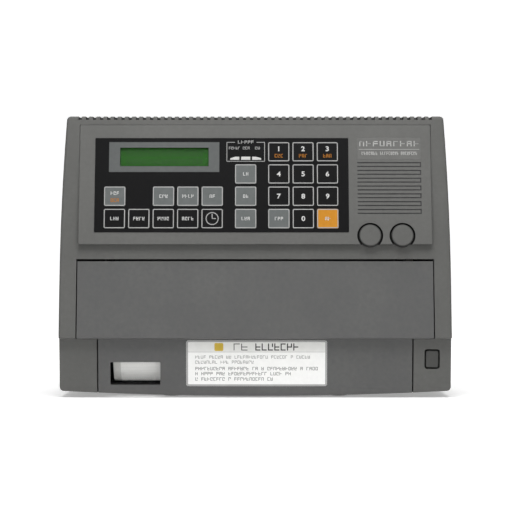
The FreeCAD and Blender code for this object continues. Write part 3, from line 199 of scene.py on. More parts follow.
def well_mask(tree, where, centre):
    """Painted shade in a knob's well: 1 near the axis and below the face, distance < reach and (point -
    middle) . n < start.
    """
    away, radius = from_axis(tree, where, centre)
    height = node(tree, "ShaderNodeVectorMath", {0: away, 1: tuple(panel[3])}, operation="DOT_PRODUCT")
    near = node(tree, "ShaderNodeMath", {0: radius, 1: WELL_REACH * MM}, operation="LESS_THAN")
    deep = node(tree, "ShaderNodeMath", {0: height.outputs["Value"], 1: WELL_START * MM},
                operation="LESS_THAN")
    both = node(tree, "ShaderNodeMath", {0: near.outputs[0], 1: deep.outputs[0]}, operation="MULTIPLY")
    return both.outputs[0]


def shoulder_mask(tree, where, centre):
    """Painted shade on a knob's shoulder: climbs with the distance from its axis, from 0 on its face to the
    shade's share at its edge.
    """
    away, radius = from_axis(tree, where, centre)
    climb = node(tree, "ShaderNodeMapRange", {"Value": radius, "From Min": SHOULDER_START * MM,
                                              "From Max": SHOULDER_END * MM, "To Min": 0.0,
                                              "To Max": SHOULDER_SHADE_SHARE})
    near = node(tree, "ShaderNodeMath", {0: radius, 1: WELL_REACH * MM}, operation="LESS_THAN")
    both = node(tree, "ShaderNodeMath", {0: climb.outputs[0], 1: near.outputs[0]}, operation="MULTIPLY")
    return both.outputs[0]


def worn_edges(tree, colour, dust, edge_mm=0.8):
    """Lighten rubbed edges: where a rounded normal and the true one part, their dot product drops below 1."""
    rounded = node(tree, "ShaderNodeBevel", {"Radius": edge_mm * MM}, samples=4)
    true = node(tree, "ShaderNodeNewGeometry").outputs["True Normal"]
    facing = node(tree, "ShaderNodeVectorMath", {0: rounded.outputs[0], 1: true}, operation="DOT_PRODUCT")
    edge = node(tree, "ShaderNodeMapRange", {"Value": facing.outputs["Value"], "From Min": 0.99,
                                             "From Max": 0.85, "To Min": 0.0, "To Max": 0.75})
    amount = node(tree, "ShaderNodeMath", {0: edge.outputs[0], 1: dust}, operation="MULTIPLY")
    bright = node(tree, "ShaderNodeBrightContrast", {"Color": colour, "Bright": 0.06})
    return node(tree, "ShaderNodeMix", {0: amount.outputs[0], 6: colour, 7: bright.outputs[0]},
                data_type="RGBA").outputs[2]


# %% Moulded plastic
DUST_MM = 4.0


def moulded(name, code, worn, rough=0.55, grain_mm=1.1, depth_mm=0.05, cloud_mm=60.0, gloss=0.22,
            shade_and_seam=None, wells=(), shoulders=()):
    """Colour mixes from code to worn by a cloud; bump is a fine noise; masks then mix in painted shade and
    the seam line.
    """
    material, tree, output, where = start_material(name)
    cloud = node(tree, "ShaderNodeTexNoise", {"Vector": where, "Scale": 1 / (cloud_mm * MM), "Detail": 4.0,
                                              "Roughness": 0.6})
    dust = node(tree, "ShaderNodeTexNoise", {"Vector": where, "Scale": 1 / (DUST_MM * MM), "Detail": 6.0})
    spread = node(tree, "ShaderNodeMath", {0: cloud.outputs["Fac"], 1: dust.outputs["Fac"]},
                  operation="MULTIPLY")
    ramp = node(tree, "ShaderNodeValToRGB", {"Fac": spread.outputs[0]})
    ramp.color_ramp.elements[0].position = 0.12
    ramp.color_ramp.elements[0].color = linear(code)
    ramp.color_ramp.elements[1].position = 0.45
    ramp.color_ramp.elements[1].color = linear(worn)
    grain = node(tree, "ShaderNodeTexNoise", {"Vector": where, "Scale": 1 / (grain_mm * MM), "Detail": 3.0})
    bump = node(tree, "ShaderNodeBump", {"Height": grain.outputs["Fac"], "Strength": 0.35,
                                         "Distance": depth_mm * MM})
    sheen = node(tree, "ShaderNodeMapRange", {"Value": dust.outputs["Fac"], "To Min": rough - 0.06,
                                              "To Max": rough + 0.08})
    colour = ramp.outputs["Color"]
    # Painted shade: the inside, well and shoulder masks mix a dark colour in where shade falls; the seam mask
    # draws the dark joint line.
    masks = []
    if shade_and_seam:
        colour = worn_edges(tree, colour, dust.outputs["Fac"])
        masks = [(inside_mask(tree, where), shade_and_seam), (seam_mask(tree, where), shade_and_seam)]
    masks += [(well_mask(tree, where, centre), shade_and_seam) for centre in wells]
    masks += [(shoulder_mask(tree, where, centre), SHOULDER_SHADE) for centre in shoulders]
    for amount, dark_code in masks:
        over = node(tree, "ShaderNodeMix", {0: amount, 6: colour, 7: linear(dark_code)}, data_type="RGBA")
        colour = over.outputs[2]
    shader = node(tree, "ShaderNodeBsdfPrincipled", {
        "Base Color": colour, "Roughness": sheen.outputs[0], "Normal": bump.outputs["Normal"],
        "Specular IOR Level": gloss, "IOR": 1.52})
    tree.links.new(shader.outputs[0], output.inputs["Surface"])
    return material


# %% Plastics of the set
# The last code of a moulding colours its painted shade inside and its seam line; the panel also gets painted
# shade in the knob wells.
cabinet_abs = moulded("textured_abs_mid_grey", "5b5b59", "626260", shade_and_seam="1d1d1e")
knob_centres = [tuple(joints[name]["pos_m"]) for name in ("volume_turn", "contrast_turn")]
panel_abs = moulded("textured_abs_panel_grey", "5b5b59", "626260", shade_and_seam="0e0e0f", wells=knob_centres)
casing_abs = moulded("textured_abs_casing_grey", "595957", "60605e", shade_and_seam="1d1d1e")
door_abs = moulded("textured_abs_door_grey", "565656", "5e5e5d", shade_and_seam="1d1d1e")
button_abs = moulded("smooth_abs_button", "454544", "4b4b49", rough=0.5, grain_mm=0.8, depth_mm=0.02)
# The knobs get a ring of painted shade on their shoulders.
knob_abs = moulded("smooth_abs_knob", "585856", "5e5e5c", rough=0.48, grain_mm=0.8, depth_mm=0.02,
                   shoulders=knob_centres)
overlay_polyester = moulded("matt_polyester_overlay", "0c0c0d", "101011", gloss=0.1, rough=0.5,
                            grain_mm=0.7, depth_mm=0.01)
key_black = moulded("printed_polyester_black", "0d0d0e", "111112", gloss=0.1, rough=0.45,
                    grain_mm=0.7, depth_mm=0.01)
key_grey = moulded("printed_polyester_grey", "5a5e5d", "636666", rough=0.45,
                   grain_mm=0.7, depth_mm=0.01)
key_orange = moulded("printed_polyester_orange", "b87a19", "c08425", rough=0.45,
                     grain_mm=0.7, depth_mm=0.01)
key_white = moulded("moulded_acetal_white", "bbbbb9", "c6c6c3", rough=0.4)
black_abs = moulded("moulded_abs_black", "121213", "19191a", rough=0.5)
holder_abs = moulded("moulded_abs_holder", "cfcfcb", "dadad6", rough=0.5)
nylon = moulded("cut_nylon_natural", "c2c0b5", "cbc9bf", rough=0.42)
label_vinyl = moulded("printed_vinyl_label", "ececea", "f3f3f1", rough=0.38, grain_mm=0.8, depth_mm=0.008)
badge_vinyl = moulded("printed_vinyl_badge", "61615f", "676765", rough=0.5)
rubber = moulded("moulded_rubber_black", "111112", "1b1b1b", rough=0.8, depth_mm=0.08, gloss=0.2)
board_resist = moulded("solder_resist_green", "143620", "1b472a", rough=0.35, grain_mm=2.0)
print("materials so far:", len(bpy.data.materials))


# %% [markdown]
# ## Metals
# Zinc-plated sheet is cool and faintly cloudy, with fine rolling lines. Lines come from a noise that is
# stretched a hundredfold along one axis. A metal keeps the shader's usual index of refraction, because its
# colour already says how it reflects.

# %% Metals
def rolled_metal(name, code, worn, rough=0.35, line_mm=0.6, metallic=1.0):
    """Metal whose roughness follows a noise stretched along X, so that it shows fine drawn lines."""
    material, tree, output, where = start_material(name)
    stretch = node(tree, "ShaderNodeMapping", {"Vector": where, "Scale": (0.02, 1.0, 1.0)})
    lines = node(tree, "ShaderNodeTexNoise", {"Vector": stretch.outputs[0], "Scale": 1 / (line_mm * MM),
                                              "Detail": 4.0})
    ramp = node(tree, "ShaderNodeValToRGB", {"Fac": lines.outputs["Fac"]})
    ramp.color_ramp.elements[0].position = 0.3
    ramp.color_ramp.elements[0].color = linear(code)
    ramp.color_ramp.elements[1].position = 0.7
    ramp.color_ramp.elements[1].color = linear(worn)
    sheen = node(tree, "ShaderNodeMapRange", {"Value": lines.outputs["Fac"], "To Min": rough - 0.08,
                                              "To Max": rough + 0.1})
    bump = node(tree, "ShaderNodeBump", {"Height": lines.outputs["Fac"], "Strength": 0.2,
                                         "Distance": 0.02 * MM})
    shader = node(tree, "ShaderNodeBsdfPrincipled", {
        "Base Color": ramp.outputs["Color"], "Roughness": sheen.outputs[0], "Metallic": metallic,
        "Normal": bump.outputs["Normal"]})
    tree.links.new(shader.outputs[0], output.inputs["Surface"])
    return material


zinc_steel = rolled_metal("zinc_plated_steel", "a7a9ab", "b6b8ba", rough=0.38)
ground_steel = rolled_metal("ground_steel", "b5b6b8", "c4c5c7", rough=0.25)
milled_aluminium = rolled_metal("milled_aluminium", "b4b6b8", "c6c8ca", rough=0.32)
machined_brass = rolled_metal("machined_brass", "ac8846", "bd9a58", rough=0.3)
nickel_plate = rolled_metal("nickel_plated_brass", "b3afa6", "c4c1b9", rough=0.2)
black_steel = rolled_metal("painted_steel_black", "1d1d1e", "262627", rough=0.5, metallic=0.0)


# %% [markdown]
# ## Clear acrylic, the display and wound paper
# A real window is clear all through. Treating it as nearly transparent with a clean highlight lets light
# reach what lies behind it, which a refracting solid would block. The display is a reflective
# liquid crystal, so it is a flat dark green with a slight silk. The roll's paper is wound in thin layers.

# %% Clear pieces, display and paper
def clear_acrylic(name, code):
    """Mostly transparent plastic with a polished highlight and faint wiping marks."""
    material, tree, output, where = start_material(name)
    wipes = node(tree, "ShaderNodeTexNoise", {"Vector": where, "Scale": 1 / (9.0 * MM), "Detail": 5.0})
    sheen = node(tree, "ShaderNodeMapRange", {"Value": wipes.outputs["Fac"], "To Min": 0.04, "To Max": 0.14})
    shader = node(tree, "ShaderNodeBsdfPrincipled", {
        "Base Color": linear(code), "Roughness": sheen.outputs[0], "IOR": 1.49, "Alpha": 0.03,
        "Specular IOR Level": 0.25})
    tree.links.new(shader.outputs[0], output.inputs["Surface"])
    return material


clear_lens = clear_acrylic("clear_acrylic_lens", "1c241c")
clear_pane = clear_acrylic("clear_acrylic_pane", "202222")
display_glass = moulded("reflective_display_green", "1b540c", "1f5a10", rough=0.3, grain_mm=2.0,
                        depth_mm=0.005)


def wound_paper(name, code, worn, layer_mm=0.9):
    """Paper whose shade follows bands across the roll's end, one for each group of layers."""
    material, tree, output, where = start_material(name)
    fibres = node(tree, "ShaderNodeTexNoise", {"Vector": where, "Scale": 1 / (2.5 * MM), "Detail": 8.0})
    layers = node(tree, "ShaderNodeTexWave", {"Vector": where, "Scale": 1 / (6.3 * layer_mm * MM),
                                              "Distortion": 0.6}, bands_direction="Y")
    both = node(tree, "ShaderNodeMath", {0: fibres.outputs["Fac"], 1: layers.outputs["Fac"]},
                operation="MULTIPLY")
    ramp = node(tree, "ShaderNodeValToRGB", {"Fac": both.outputs[0]})
    ramp.color_ramp.elements[0].color = linear(code)
    ramp.color_ramp.elements[1].color = linear(worn)
    bump = node(tree, "ShaderNodeBump", {"Height": fibres.outputs["Fac"], "Strength": 0.15,
                                         "Distance": 0.02 * MM})
    shader = node(tree, "ShaderNodeBsdfPrincipled", {
        "Base Color": ramp.outputs["Color"], "Roughness": 0.75, "Specular IOR Level": 0.25,
        "Normal": bump.outputs["Normal"]})
    tree.links.new(shader.outputs[0], output.inputs["Surface"])
    return material


chart_paper = wound_paper("thermal_chart_paper", "ededea", "f8f8f5")

# %% [markdown]
# ## Finishes for the engineering nodes
# The record gives each node a material slot. One table turns slots into finishes, and a few nodes get a
# finish of their own where the real piece differs from its neighbours.

# %% Dress the nodes
finishes = {
    "casing_plastic": cabinet_abs, "door_plastic": door_abs, "frame_steel": black_steel,
    "overlay_film": overlay_polyester, "clear_lens": clear_lens, "display_green": display_glass,
    "board": board_resist, "black_plastic": black_abs, "badge_film": badge_vinyl, "zinc_steel": zinc_steel,
    "head_aluminium": milled_aluminium, "label_film": label_vinyl, "bright_steel": ground_steel,
    "recording_paper": chart_paper, "holder_plastic": holder_abs, "platen_rubber": rubber,
    "brass": machined_brass, "gear_nylon": nylon, "nickel_brass": nickel_plate, "foot_rubber": rubber,
    "key_black": key_black, "key_grey": key_grey, "key_orange": key_orange, "key_white": key_white,
}
special = {
    "hinge_pins": black_steel, "control_panel": panel_abs, "front_casing": casing_abs,
    "release_button": button_abs, "volume_knob": knob_abs, "contrast_knob": knob_abs,
    "door_window": clear_pane,
}
for part in record["subparts"]:
    name = part["node"]
    item = frame["nodes"][name]
    finish = special.get(name, finishes[part["material_slot"]])
    item.data.materials.clear()
    item.data.materials.append(finish)
print("dressed", len(record["subparts"]), "nodes")


# %% [markdown]
# ## Thin printed shapes
# Screen-printed ink is a few hundredths of a millimetre thick. A few helpers cover all of it: many small
# blocks in one mesh, a closed band between two outlines, a flat slab, and a digit. Each of the first three
# is computed as whole arrays.

# %% Build a piece, and blocks
def build(name, points, faces, material, body):
    """Make a mesh object from arrays, give it its finish, and let it ride on a body."""
    mesh = bpy.data.meshes.new(name)
    mesh.from_pydata(np.asarray(points).tolist(), [], [list(map(int, face)) for face in faces])
    mesh.validate()
    mesh.materials.append(material)
    item = bpy.data.objects.new(name, mesh)
    bpy.context.scene.collection.objects.link(item)
    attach(item, body)
    return item


def blocks(name, plane, rects, low, high, material, body, slot_name):
    """Boxes over rectangles: each corner is the rectangle's corner at height low, then at height high."""
    r = np.asarray(rects, float)
    xs = r[:, [0, 2, 2, 0]]
    ys = r[:, [1, 1, 3, 3]]
    bottom = np.stack([xs, ys, np.full_like(xs, low)], -1)
    top = np.stack([xs, ys, np.full_like(xs, high)], -1)
    points = np.concatenate([bottom, top], 1).reshape(-1, 3)
    box = np.array([(3, 2, 1, 0), (4, 5, 6, 7), (0, 1, 5, 4), (1, 2, 6, 5), (2, 3, 7, 6), (3, 0, 4, 7)])
    faces = (np.arange(len(r))[:, None, None] * 8 + box).reshape(-1, 4)
    return build(name, place(plane, points), faces, material, body)


# %% Outlines and bands
def round_outline(width, height, radius, steps=6):
    """Rounded rectangle: four corner centres, each plus the radius times (cos t, sin t)."""
    turn = (np.arange(4)[:, None] * 90 + np.linspace(0, 90, steps)[None, :]) * math.pi / 180
    signs = np.array([(1, 1), (-1, 1), (-1, -1), (1, -1)])
    centres = signs * (np.array([width, height]) / 2 - radius)
    return (centres[:, None, :] + radius * np.stack([np.cos(turn), np.sin(turn)], -1)).reshape(-1, 2)


def closed_band(name, plane, outer, inner, low, high, material, body, slot_name):
    """Closed band through four rings of points: outer low, outer high, inner high, inner low."""
    n = len(outer)
    rows = [(outer, low), (outer, high), (inner, high), (inner, low)]
    points = np.concatenate([np.column_stack([row, np.full(n, z)]) for row, z in rows])
    i = np.arange(n)
    j = (i + 1) % n
    faces = np.concatenate([np.column_stack([a * n + i, a * n + j, b * n + j, b * n + i])
                            for a, b in ((0, 1), (1, 2), (2, 3), (3, 0))])
    return build(name, place(plane, points), faces, material, body)


def frame_line(name, plane, centre, width, height, radius, line, low, high, material, body, slot_name):
    """Closed band between a rounded rectangle and the same one drawn in by the line's width."""
    outer = round_outline(width, height, radius) + np.array(centre)
    inner = round_outline(width - 2 * line, height - 2 * line, max(radius - line, 0.15)) + np.array(centre)
    return closed_band(name, plane, outer, inner, low, high, material, body, slot_name)


def slab(name, plane, outline, low, high, material, body, slot_name):
    """Flat closed slab over an outline."""
    n = len(outline)
    points = np.concatenate([np.column_stack([outline, np.full(n, z)]) for z in (low, high)])
    i = np.arange(n)
    j = (i + 1) % n
    faces = np.column_stack([i, j, n + j, n + i]).tolist() + [list(range(n))[::-1], list(range(n, 2 * n))]
    return build(name, place(plane, points), faces, material, body)


# %% [markdown]
# A digit's shape comes from Blender's built-in font. The text is made a mesh first, and only then are its
# points moved on to the plane, so the finished piece sits at the origin like every other one.

# %% Digits
CAPITAL_SHARE, DIGIT_STRETCH = 0.72, np.array([1.12, 1.0, 1.0])


def lettering(name, plane, text, centre, height, low, high, material, body, slot_name, bold=0.03):
    """Digits from the built-in font, centred on a point, with their capital height in millimetres."""
    curve = bpy.data.curves.new(name, "FONT")
    curve.body = text
    curve.align_x = "CENTER"
    curve.size = height / CAPITAL_SHARE
    curve.offset = bold * height
    curve.extrude = (high - low) / 2
    curve.resolution_u = 3
    holder = bpy.data.objects.new(name + "_curve", curve)
    bpy.context.scene.collection.objects.link(holder)
    bpy.context.view_layer.update()
    mesh = bpy.data.meshes.new_from_object(holder.evaluated_get(bpy.context.evaluated_depsgraph_get()))
    points = np.empty(len(mesh.vertices) * 3)
    mesh.vertices.foreach_get("co", points)
    points = points.reshape(-1, 3)
    middle = (points.min(0) + points.max(0)) / 2
    points = (points - middle) * DIGIT_STRETCH + np.array([centre[0], centre[1], (low + high) / 2])
    mesh.vertices.foreach_set("co", place(plane, points).ravel())
    mesh.name = name
    mesh.materials.clear()
    mesh.materials.append(material)
    bpy.data.objects.remove(holder)
    item = bpy.data.objects.new(name, mesh)
    bpy.context.scene.collection.objects.link(item)
    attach(item, body)
    return item


# %% Inks
light_ink = moulded("screen_ink_light_grey", "9d9d9c", "a8a8a7", rough=0.5)
white_ink = moulded("screen_ink_white", "c0c0bf", "c9c9c8", rough=0.5)
orange_ink = moulded("screen_ink_orange", "9d6115", "a86c20", rough=0.5)
ochre_ink = moulded("screen_ink_ochre", "c4a63a", "ceb24a", rough=0.45)
bezel_ink = moulded("screen_ink_bezel_grey", "545656", "5a5d5c", rough=0.5)
dark_ink = moulded("screen_ink_charcoal", "2b2b2b", "353535", rough=0.5)
print("materials so far:", len(bpy.data.materials))

# %% [markdown]
# ## Key printing
# Every key is a printed pad with a light frame line close to its edge and a mark in the middle. The keys'
# places come from the model's own boxes, and each print rides on its key, so it dips when the key does.

# %% Key frames and digits
KEY_W, KEY_H, KEY_TOP = 20.4, 18.9, 0.7
KEY_MARGIN, KEY_CORNER, KEY_LINE = 0.3, 1.5, 0.85
INK, FRAME_ROOT, MARK_ROOT = 0.05, 0.1, 0.05
DIGIT_H, DIGIT_LIFT = 4.7, 2.9
mark_level = (KEY_TOP - MARK_ROOT, KEY_TOP + INK)
node_names = [part["node"] for part in record["subparts"]]
key_names = [name for name in node_names if "_key" in name and "power" not in name]
spots = {name: flat_coordinates(panel, node_centre(name)) for name in key_names}
for name in key_names:
    frame_line(name + "_frame", panel, spots[name], KEY_W - KEY_MARGIN, KEY_H - KEY_MARGIN, KEY_CORNER,
               KEY_LINE, KEY_TOP - FRAME_ROOT, KEY_TOP + INK, light_ink, name + "_body", "key_white")
for digit in range(10):
    name = "digit_key_%d" % digit
    u, v = spots[name]
    lift = DIGIT_LIFT if digit in (1, 2, 3) else 0.0
    lettering(name + "_digit", panel, str(digit), (u, v + lift), DIGIT_H, *mark_level, white_ink,
              name + "_body", "key_white")
print("framed", len(key_names), "keys")


# %% [markdown]
# The other keys but one carry words on a real set. Here each word is a row of stand-in letters, as a
# designer draws them when the words don't matter: every letter is a stem, often a second one, and two bars
# picked by a seeded draw. Four keys have a second, orange row.

# %% Other marks
def glyphs(u, v, count, width, height, stroke, gap, seed):
    """Row of stand-in letters as rectangles: each is a stem, a second stem or none, and two of three bars."""
    draws = np.random.default_rng(seed)
    left = u - (count * width + (count - 1) * gap) / 2 + np.arange(count) * (width + gap)
    low, high = v - height / 2, v + height / 2
    stems = np.column_stack([left, np.full(count, low), left + stroke, np.full(count, high)])
    second = np.column_stack([left + width - stroke, np.full(count, low), left + width, np.full(count, high)])
    second[:, 1] += draws.choice([0.0, 0.5], count) * height
    second = second[draws.random(count) < 0.6]
    spot = draws.integers(0, 3, (count, 2)) * (height - stroke) / 2 + low
    bars = [np.column_stack([left, spot[:, k], left + width, spot[:, k] + stroke]) for k in (0, 1)]
    return np.concatenate([stems, second, *bars])


# %% Words on the keys
LETTER_W, LETTER_STROKE, LETTER_GAP = 2.1, 0.62, 0.75
UPPER_ROW, LOWER_ROW, LOWER_H = 3.0, -3.9, 3.5


def legend(name, count, up=0.0, height=3.3, ink=white_ink, seed=1):
    """Stand-in word on a key, printed proud of its face."""
    u, v = spots[name]
    rects = glyphs(u, v + up, count, LETTER_W, height, LETTER_STROKE, LETTER_GAP, seed)
    blocks("%s_legend_%d" % (name, seed), panel, rects, *mark_level, ink, name + "_body",
           "key_white" if ink == white_ink else "key_orange")


words = {"menu_key_1": 3, "menu_key_2": 4, "menu_key_3": 4, "menu_key_4": 4, "mode_key_2": 3,
         "mode_key_3": 4, "mode_key_4": 2, "side_key_1": 3, "side_key_2": 2, "side_key_3": 2, "clear_key": 3,
         "start_key": 2}
for seed, (name, count) in enumerate(words.items(), 3):
    legend(name, count, seed=seed)
legend("mode_key_1", 3, up=UPPER_ROW, seed=21)
for seed, name in enumerate(("digit_key_1", "digit_key_2", "digit_key_3", "mode_key_1"), 31):
    legend(name, 3, up=LOWER_ROW, height=LOWER_H, ink=orange_ink, seed=seed)
print("words on keys:", len(words) + 5)

# %% [markdown]
# The clock mark is a ring and two hands. The ring is the same frame-line band with a corner radius of half
# its width, which turns a rounded square into a circle.

# %% Clock mark
RING_D, RING_LINE, HAND_HALF, MINUTE_HAND, HOUR_HAND = 12.4, 0.8, 0.4, 4.6, 3.6
u, v = spots["menu_key_5"]
frame_line("clock_ring", panel, (u, v), RING_D, RING_D, RING_D / 2, RING_LINE, *mark_level, light_ink,
           "menu_key_5_body", "key_white")
hands = [(u - HAND_HALF, v - HAND_HALF, u + HAND_HALF, v + MINUTE_HAND),
         (u - HAND_HALF, v - HAND_HALF, u + HOUR_HAND, v + HAND_HALF)]
blocks("clock_hands", panel, hands, *mark_level, light_ink, "menu_key_5_body", "key_white")
print("clock ring", RING_D, "mm across")

# %% [markdown]
# ## Overlay printing
# The overlay carries a grey surround for the display, and a thin frame with stand-in headings round the
# three power keys. The surround is one band from its outer edge to the window's edge. A row of letters is
# told by a line of a table: across, up, letters, width, height, stroke, gap and the draw's seed.

# %% Display surround
FILM = 0.4
SURROUND = (-52.8, -14.7, 52.5, 14.5)
WINDOW = (-42.3, -9.1, 42.3, 9.1)
film_level = (FILM - FRAME_ROOT, FILM + INK)
lens_u, lens_v = flat_coordinates(panel, node_centre("display_window"))


def around_lens(edges):
    """Corners of a rectangle whose left, bottom, right and top are given from the lens's middle."""
    x0, y0, x1, y1 = np.array((lens_u, lens_v, lens_u, lens_v)) + np.array(edges)
    return np.array([(x0, y0), (x1, y0), (x1, y1), (x0, y1)])


closed_band("display_surround", panel, around_lens(SURROUND), around_lens(WINDOW), *film_level, bezel_ink,
            "cabinet", "key_grey")
print("lens middle on the panel:", round(lens_u, 2), round(lens_v, 2))


# %% Power block
def word_rows(u, v, table):
    """Stand-in words placed from a point, one for each line of a table."""
    return np.concatenate([glyphs(u + across, v + up, *rest) for across, up, *rest in table])


FRAME_HALF, FRAME_FALL, FRAME_RISE, LINE, TOP_LINE = 18.3, 3.1, 16.1, 0.55, 8.0
HEADING_ROWS = ((0.0, FRAME_RISE, 5, 2.4, 3.0, 0.6, 0.75, 41), (-10.9, 10.2, 5, 1.7, 2.6, 0.45, 0.5, 42),
                (0.4, 10.2, 3, 1.8, 2.6, 0.45, 0.5, 43), (11.2, 10.2, 2, 2.0, 2.6, 0.45, 0.6, 44))
middle_u, middle_v = flat_coordinates(panel, node_centre("power_key_2"))
left, right = middle_u - FRAME_HALF, middle_u + FRAME_HALF
low_v, high_v = middle_v - FRAME_FALL, middle_v + FRAME_RISE
power_frame = [(left, low_v, right, low_v + LINE), (left, low_v, left + LINE, high_v),
               (right - LINE, low_v, right, high_v), (left, high_v - LINE, left + TOP_LINE, high_v),
               (right - TOP_LINE, high_v - LINE, right, high_v)]
blocks("power_frame", panel, power_frame, *film_level, light_ink, "cabinet", "key_white")
headings = word_rows(middle_u, middle_v, HEADING_ROWS)
blocks("power_headings", panel, headings, *film_level, light_ink, "cabinet", "key_white")
print("power block strokes:", len(power_frame) + len(headings))

# %% [markdown]
# ## Display cells
# A character display shows its cells even when it is blank: two rows of twenty, a shade duller than the
# glass. They are thin blocks lying on the glass inside the module.

# %% Display cells
CELL_PITCH, FIRST_CELL, CELL_HALF_W, CELL_HALF_H, ROW_RISE = 3.7, 35.2, 1.5, 2.7, 3.6
glass_level = (-2.4, -2.27)
cell_x = lens_u - FIRST_CELL + np.arange(20) * CELL_PITCH
cells = [(x - CELL_HALF_W, lens_v + y - CELL_HALF_H, x + CELL_HALF_W, lens_v + y + CELL_HALF_H)
         for y in (-ROW_RISE, ROW_RISE) for x in cell_x]
cell_green = moulded("display_cell_green", "214e19", "25531b", rough=0.3)
blocks("display_cells", panel, cells, *glass_level, cell_green, "cabinet", "display_green")
print("display cells:", len(cells))

# %% [markdown]
# ## Badge and label
# The badge above the louvres carries no name: it has a row of large stand-in letters, a light rule, and
# three small stand-in words. The label on the door has a grey border, a pale header band with a plain
# ochre marker and a stand-in title, and rows of stand-in letters in place of its text.

# %% Badge
badge_u, badge_v = flat_coordinates(panel, node_centre("name_badge"))
badge_ink = moulded("screen_ink_badge_grey", "a2a2a0", "acacaa", rough=0.5)
RULE_HALF, RULE_LOW, RULE_HIGH = 29.0, 1.2, 0.8
BADGE_ROWS = ((0.0, 4.6, 9, 4.6, 5.2, 1.0, 1.9, 51), (-18.7, -4.9, 7, 1.65, 3.3, 0.58, 0.6, 52),
              (0.3, -4.9, 9, 1.5, 3.3, 0.55, 0.5, 53), (19.1, -4.9, 8, 1.5, 3.3, 0.55, 0.5, 54))
badge_level = (-0.02, 0.05 + INK)
badge_rule = np.array([(badge_u - RULE_HALF, badge_v - RULE_LOW, badge_u + RULE_HALF, badge_v - RULE_HIGH)])
badge_print = np.concatenate([badge_rule, word_rows(badge_u, badge_v, BADGE_ROWS)])
blocks("badge_print", panel, badge_print, *badge_level, badge_ink, "cabinet", "key_white")
print("badge strokes:", len(badge_print))

# %% Label
label_w, label_h, label_corner, border = 133.7, 43.8, 2.3, 1.6
header_inset, header_low, rule_low = 1.7, 11.0, 11.3
label_middle = node_centre("door_label")
label_centre = (label_middle[0] / MM, flat_coordinates(skirt, label_middle)[1])
out_mm = float((label_middle - skirt[0]) @ skirt[3]) / MM + 0.15
border_level, header_level = (out_mm - 0.05, out_mm + 0.03), (out_mm - 0.05, out_mm + 0.02)
text_level, rule_level = (out_mm - 0.04, out_mm + 0.05), (out_mm - 0.04, out_mm + 0.04)
x0, y1 = label_centre[0] - label_w / 2, label_centre[1] + label_h / 2
inner_x0, inner_x1 = x0 + header_inset, x0 + label_w - header_inset
frame_line("label_border", skirt, label_centre, label_w - 0.2, label_h - 0.2, label_corner, border,
           *border_level, light_ink, "door", "key_white")
band = moulded("printed_vinyl_header", "dededb", "e6e6e3", rough=0.4)
blocks("label_header", skirt, [(inner_x0, y1 - header_low, inner_x1, y1 - header_inset)], *header_level, band,
       "door", "key_white")
print("label", label_w, "x", label_h, "mm")

# %% Label heading
MARKER_W, MARKER_H, MARKER_CORNER, MARKER_X, HEADING_Y = 8.4, 7.6, 1.2, 31.0, 6.3
TITLE_ROWS = ((51.6, -HEADING_Y, 2, 5.9, 6.6, 0.75, 1.3, 61), (86.0, -HEADING_Y, 7, 4.8, 6.8, 1.05, 1.2, 62))
marker = round_outline(MARKER_W, MARKER_H, MARKER_CORNER) + np.array((x0 + MARKER_X, y1 - HEADING_Y))
slab("label_marker", skirt, marker, *text_level, ochre_ink, "door", "key_orange")
blocks("label_title", skirt, word_rows(x0, y1, TITLE_ROWS), *text_level, dark_ink, "door", "key_black")
blocks("label_rule", skirt, [(inner_x0, y1 - rule_low, inner_x1, y1 - header_low)], *rule_level, light_ink,
       "door", "key_white")

# %% [markdown]
# The label's text is five rows. Each row is told by how far it lies below the label's top, its length, its
# letters' height and their stroke. A seeded draw leaves out about one letter in six, which parts the words.

# %% Label text
small_ink = moulded("screen_ink_text_grey", "4c4c4c", "565656", rough=0.5)
LINE_MARGIN, PITCH_SHARE, LETTER_SHARE, GAP_SHARE = 8.3, 0.92, 0.66, 0.26
rows_down = ((15.9, 112.0, 2.9, 0.32), (20.8, 60.0, 2.9, 0.32), (27.0, 119.0, 3.1, 0.42),
             (31.9, 93.0, 3.1, 0.42), (37.0, 77.0, 3.1, 0.42))
lines = []
for seed, (down, length, tall, stroke) in enumerate(rows_down, 71):
    pitch = PITCH_SHARE * tall
    count = int(length / pitch)
    row = glyphs(x0 + LINE_MARGIN + count * pitch / 2, y1 - down, count, LETTER_SHARE * tall, tall, stroke,
                 GAP_SHARE * tall, seed)
    spaces = np.random.default_rng(seed + 20).choice(count, count // 6, replace=False)
    cell = ((row[:, 0] - x0 - LINE_MARGIN) / pitch + 0.05).astype(int)
    lines.append(row[~np.isin(cell, spaces)])
blocks("label_lines", skirt, np.concatenate(lines), *text_level, small_ink, "door", "key_black")
print("label strokes:", sum(len(row) for row in lines))

# %% [markdown]
# ## Grille cloth
# Dark grey strips fill the speaker slits as painted shade, so they read as dark grey, not as holes. They are
# drawn as one thin strip in each slit: two level ones and a short upright at the right end for each of the
# seven louvres.

# %% Slit shade
# Painted shade: dark grey strips in the slits.
slit_shade = moulded("slit_shade_grey", "444444", "4c4c4c", rough=0.9, grain_mm=0.8, depth_mm=0.1, gloss=0.05)
grille_u, lowest_louvre_v, louvre_pitch, slit_rise = 127.95, 23.28, 7.6, 1.85
STRIP_HALF_W, STRIP_HALF_H, UPRIGHT_W, UPRIGHT_HALF_H = 30.4, 0.6, 1.2, 1.2
slit_shade_level = (-0.6, -0.4)
louvre_v = lowest_louvre_v + louvre_pitch * np.arange(7)
level = [(grille_u - STRIP_HALF_W, v + side - STRIP_HALF_H, grille_u + STRIP_HALF_W, v + side + STRIP_HALF_H)
         for v in louvre_v for side in (-slit_rise, slit_rise)]
strip_end = grille_u + STRIP_HALF_W
upright = [(strip_end - UPRIGHT_W, v - UPRIGHT_HALF_H, strip_end, v + UPRIGHT_HALF_H) for v in louvre_v]
blocks("grille_slit_shade", panel, level + upright, *slit_shade_level, slit_shade, "cabinet", "black_plastic")
print("cloth strips:", len(level + upright))
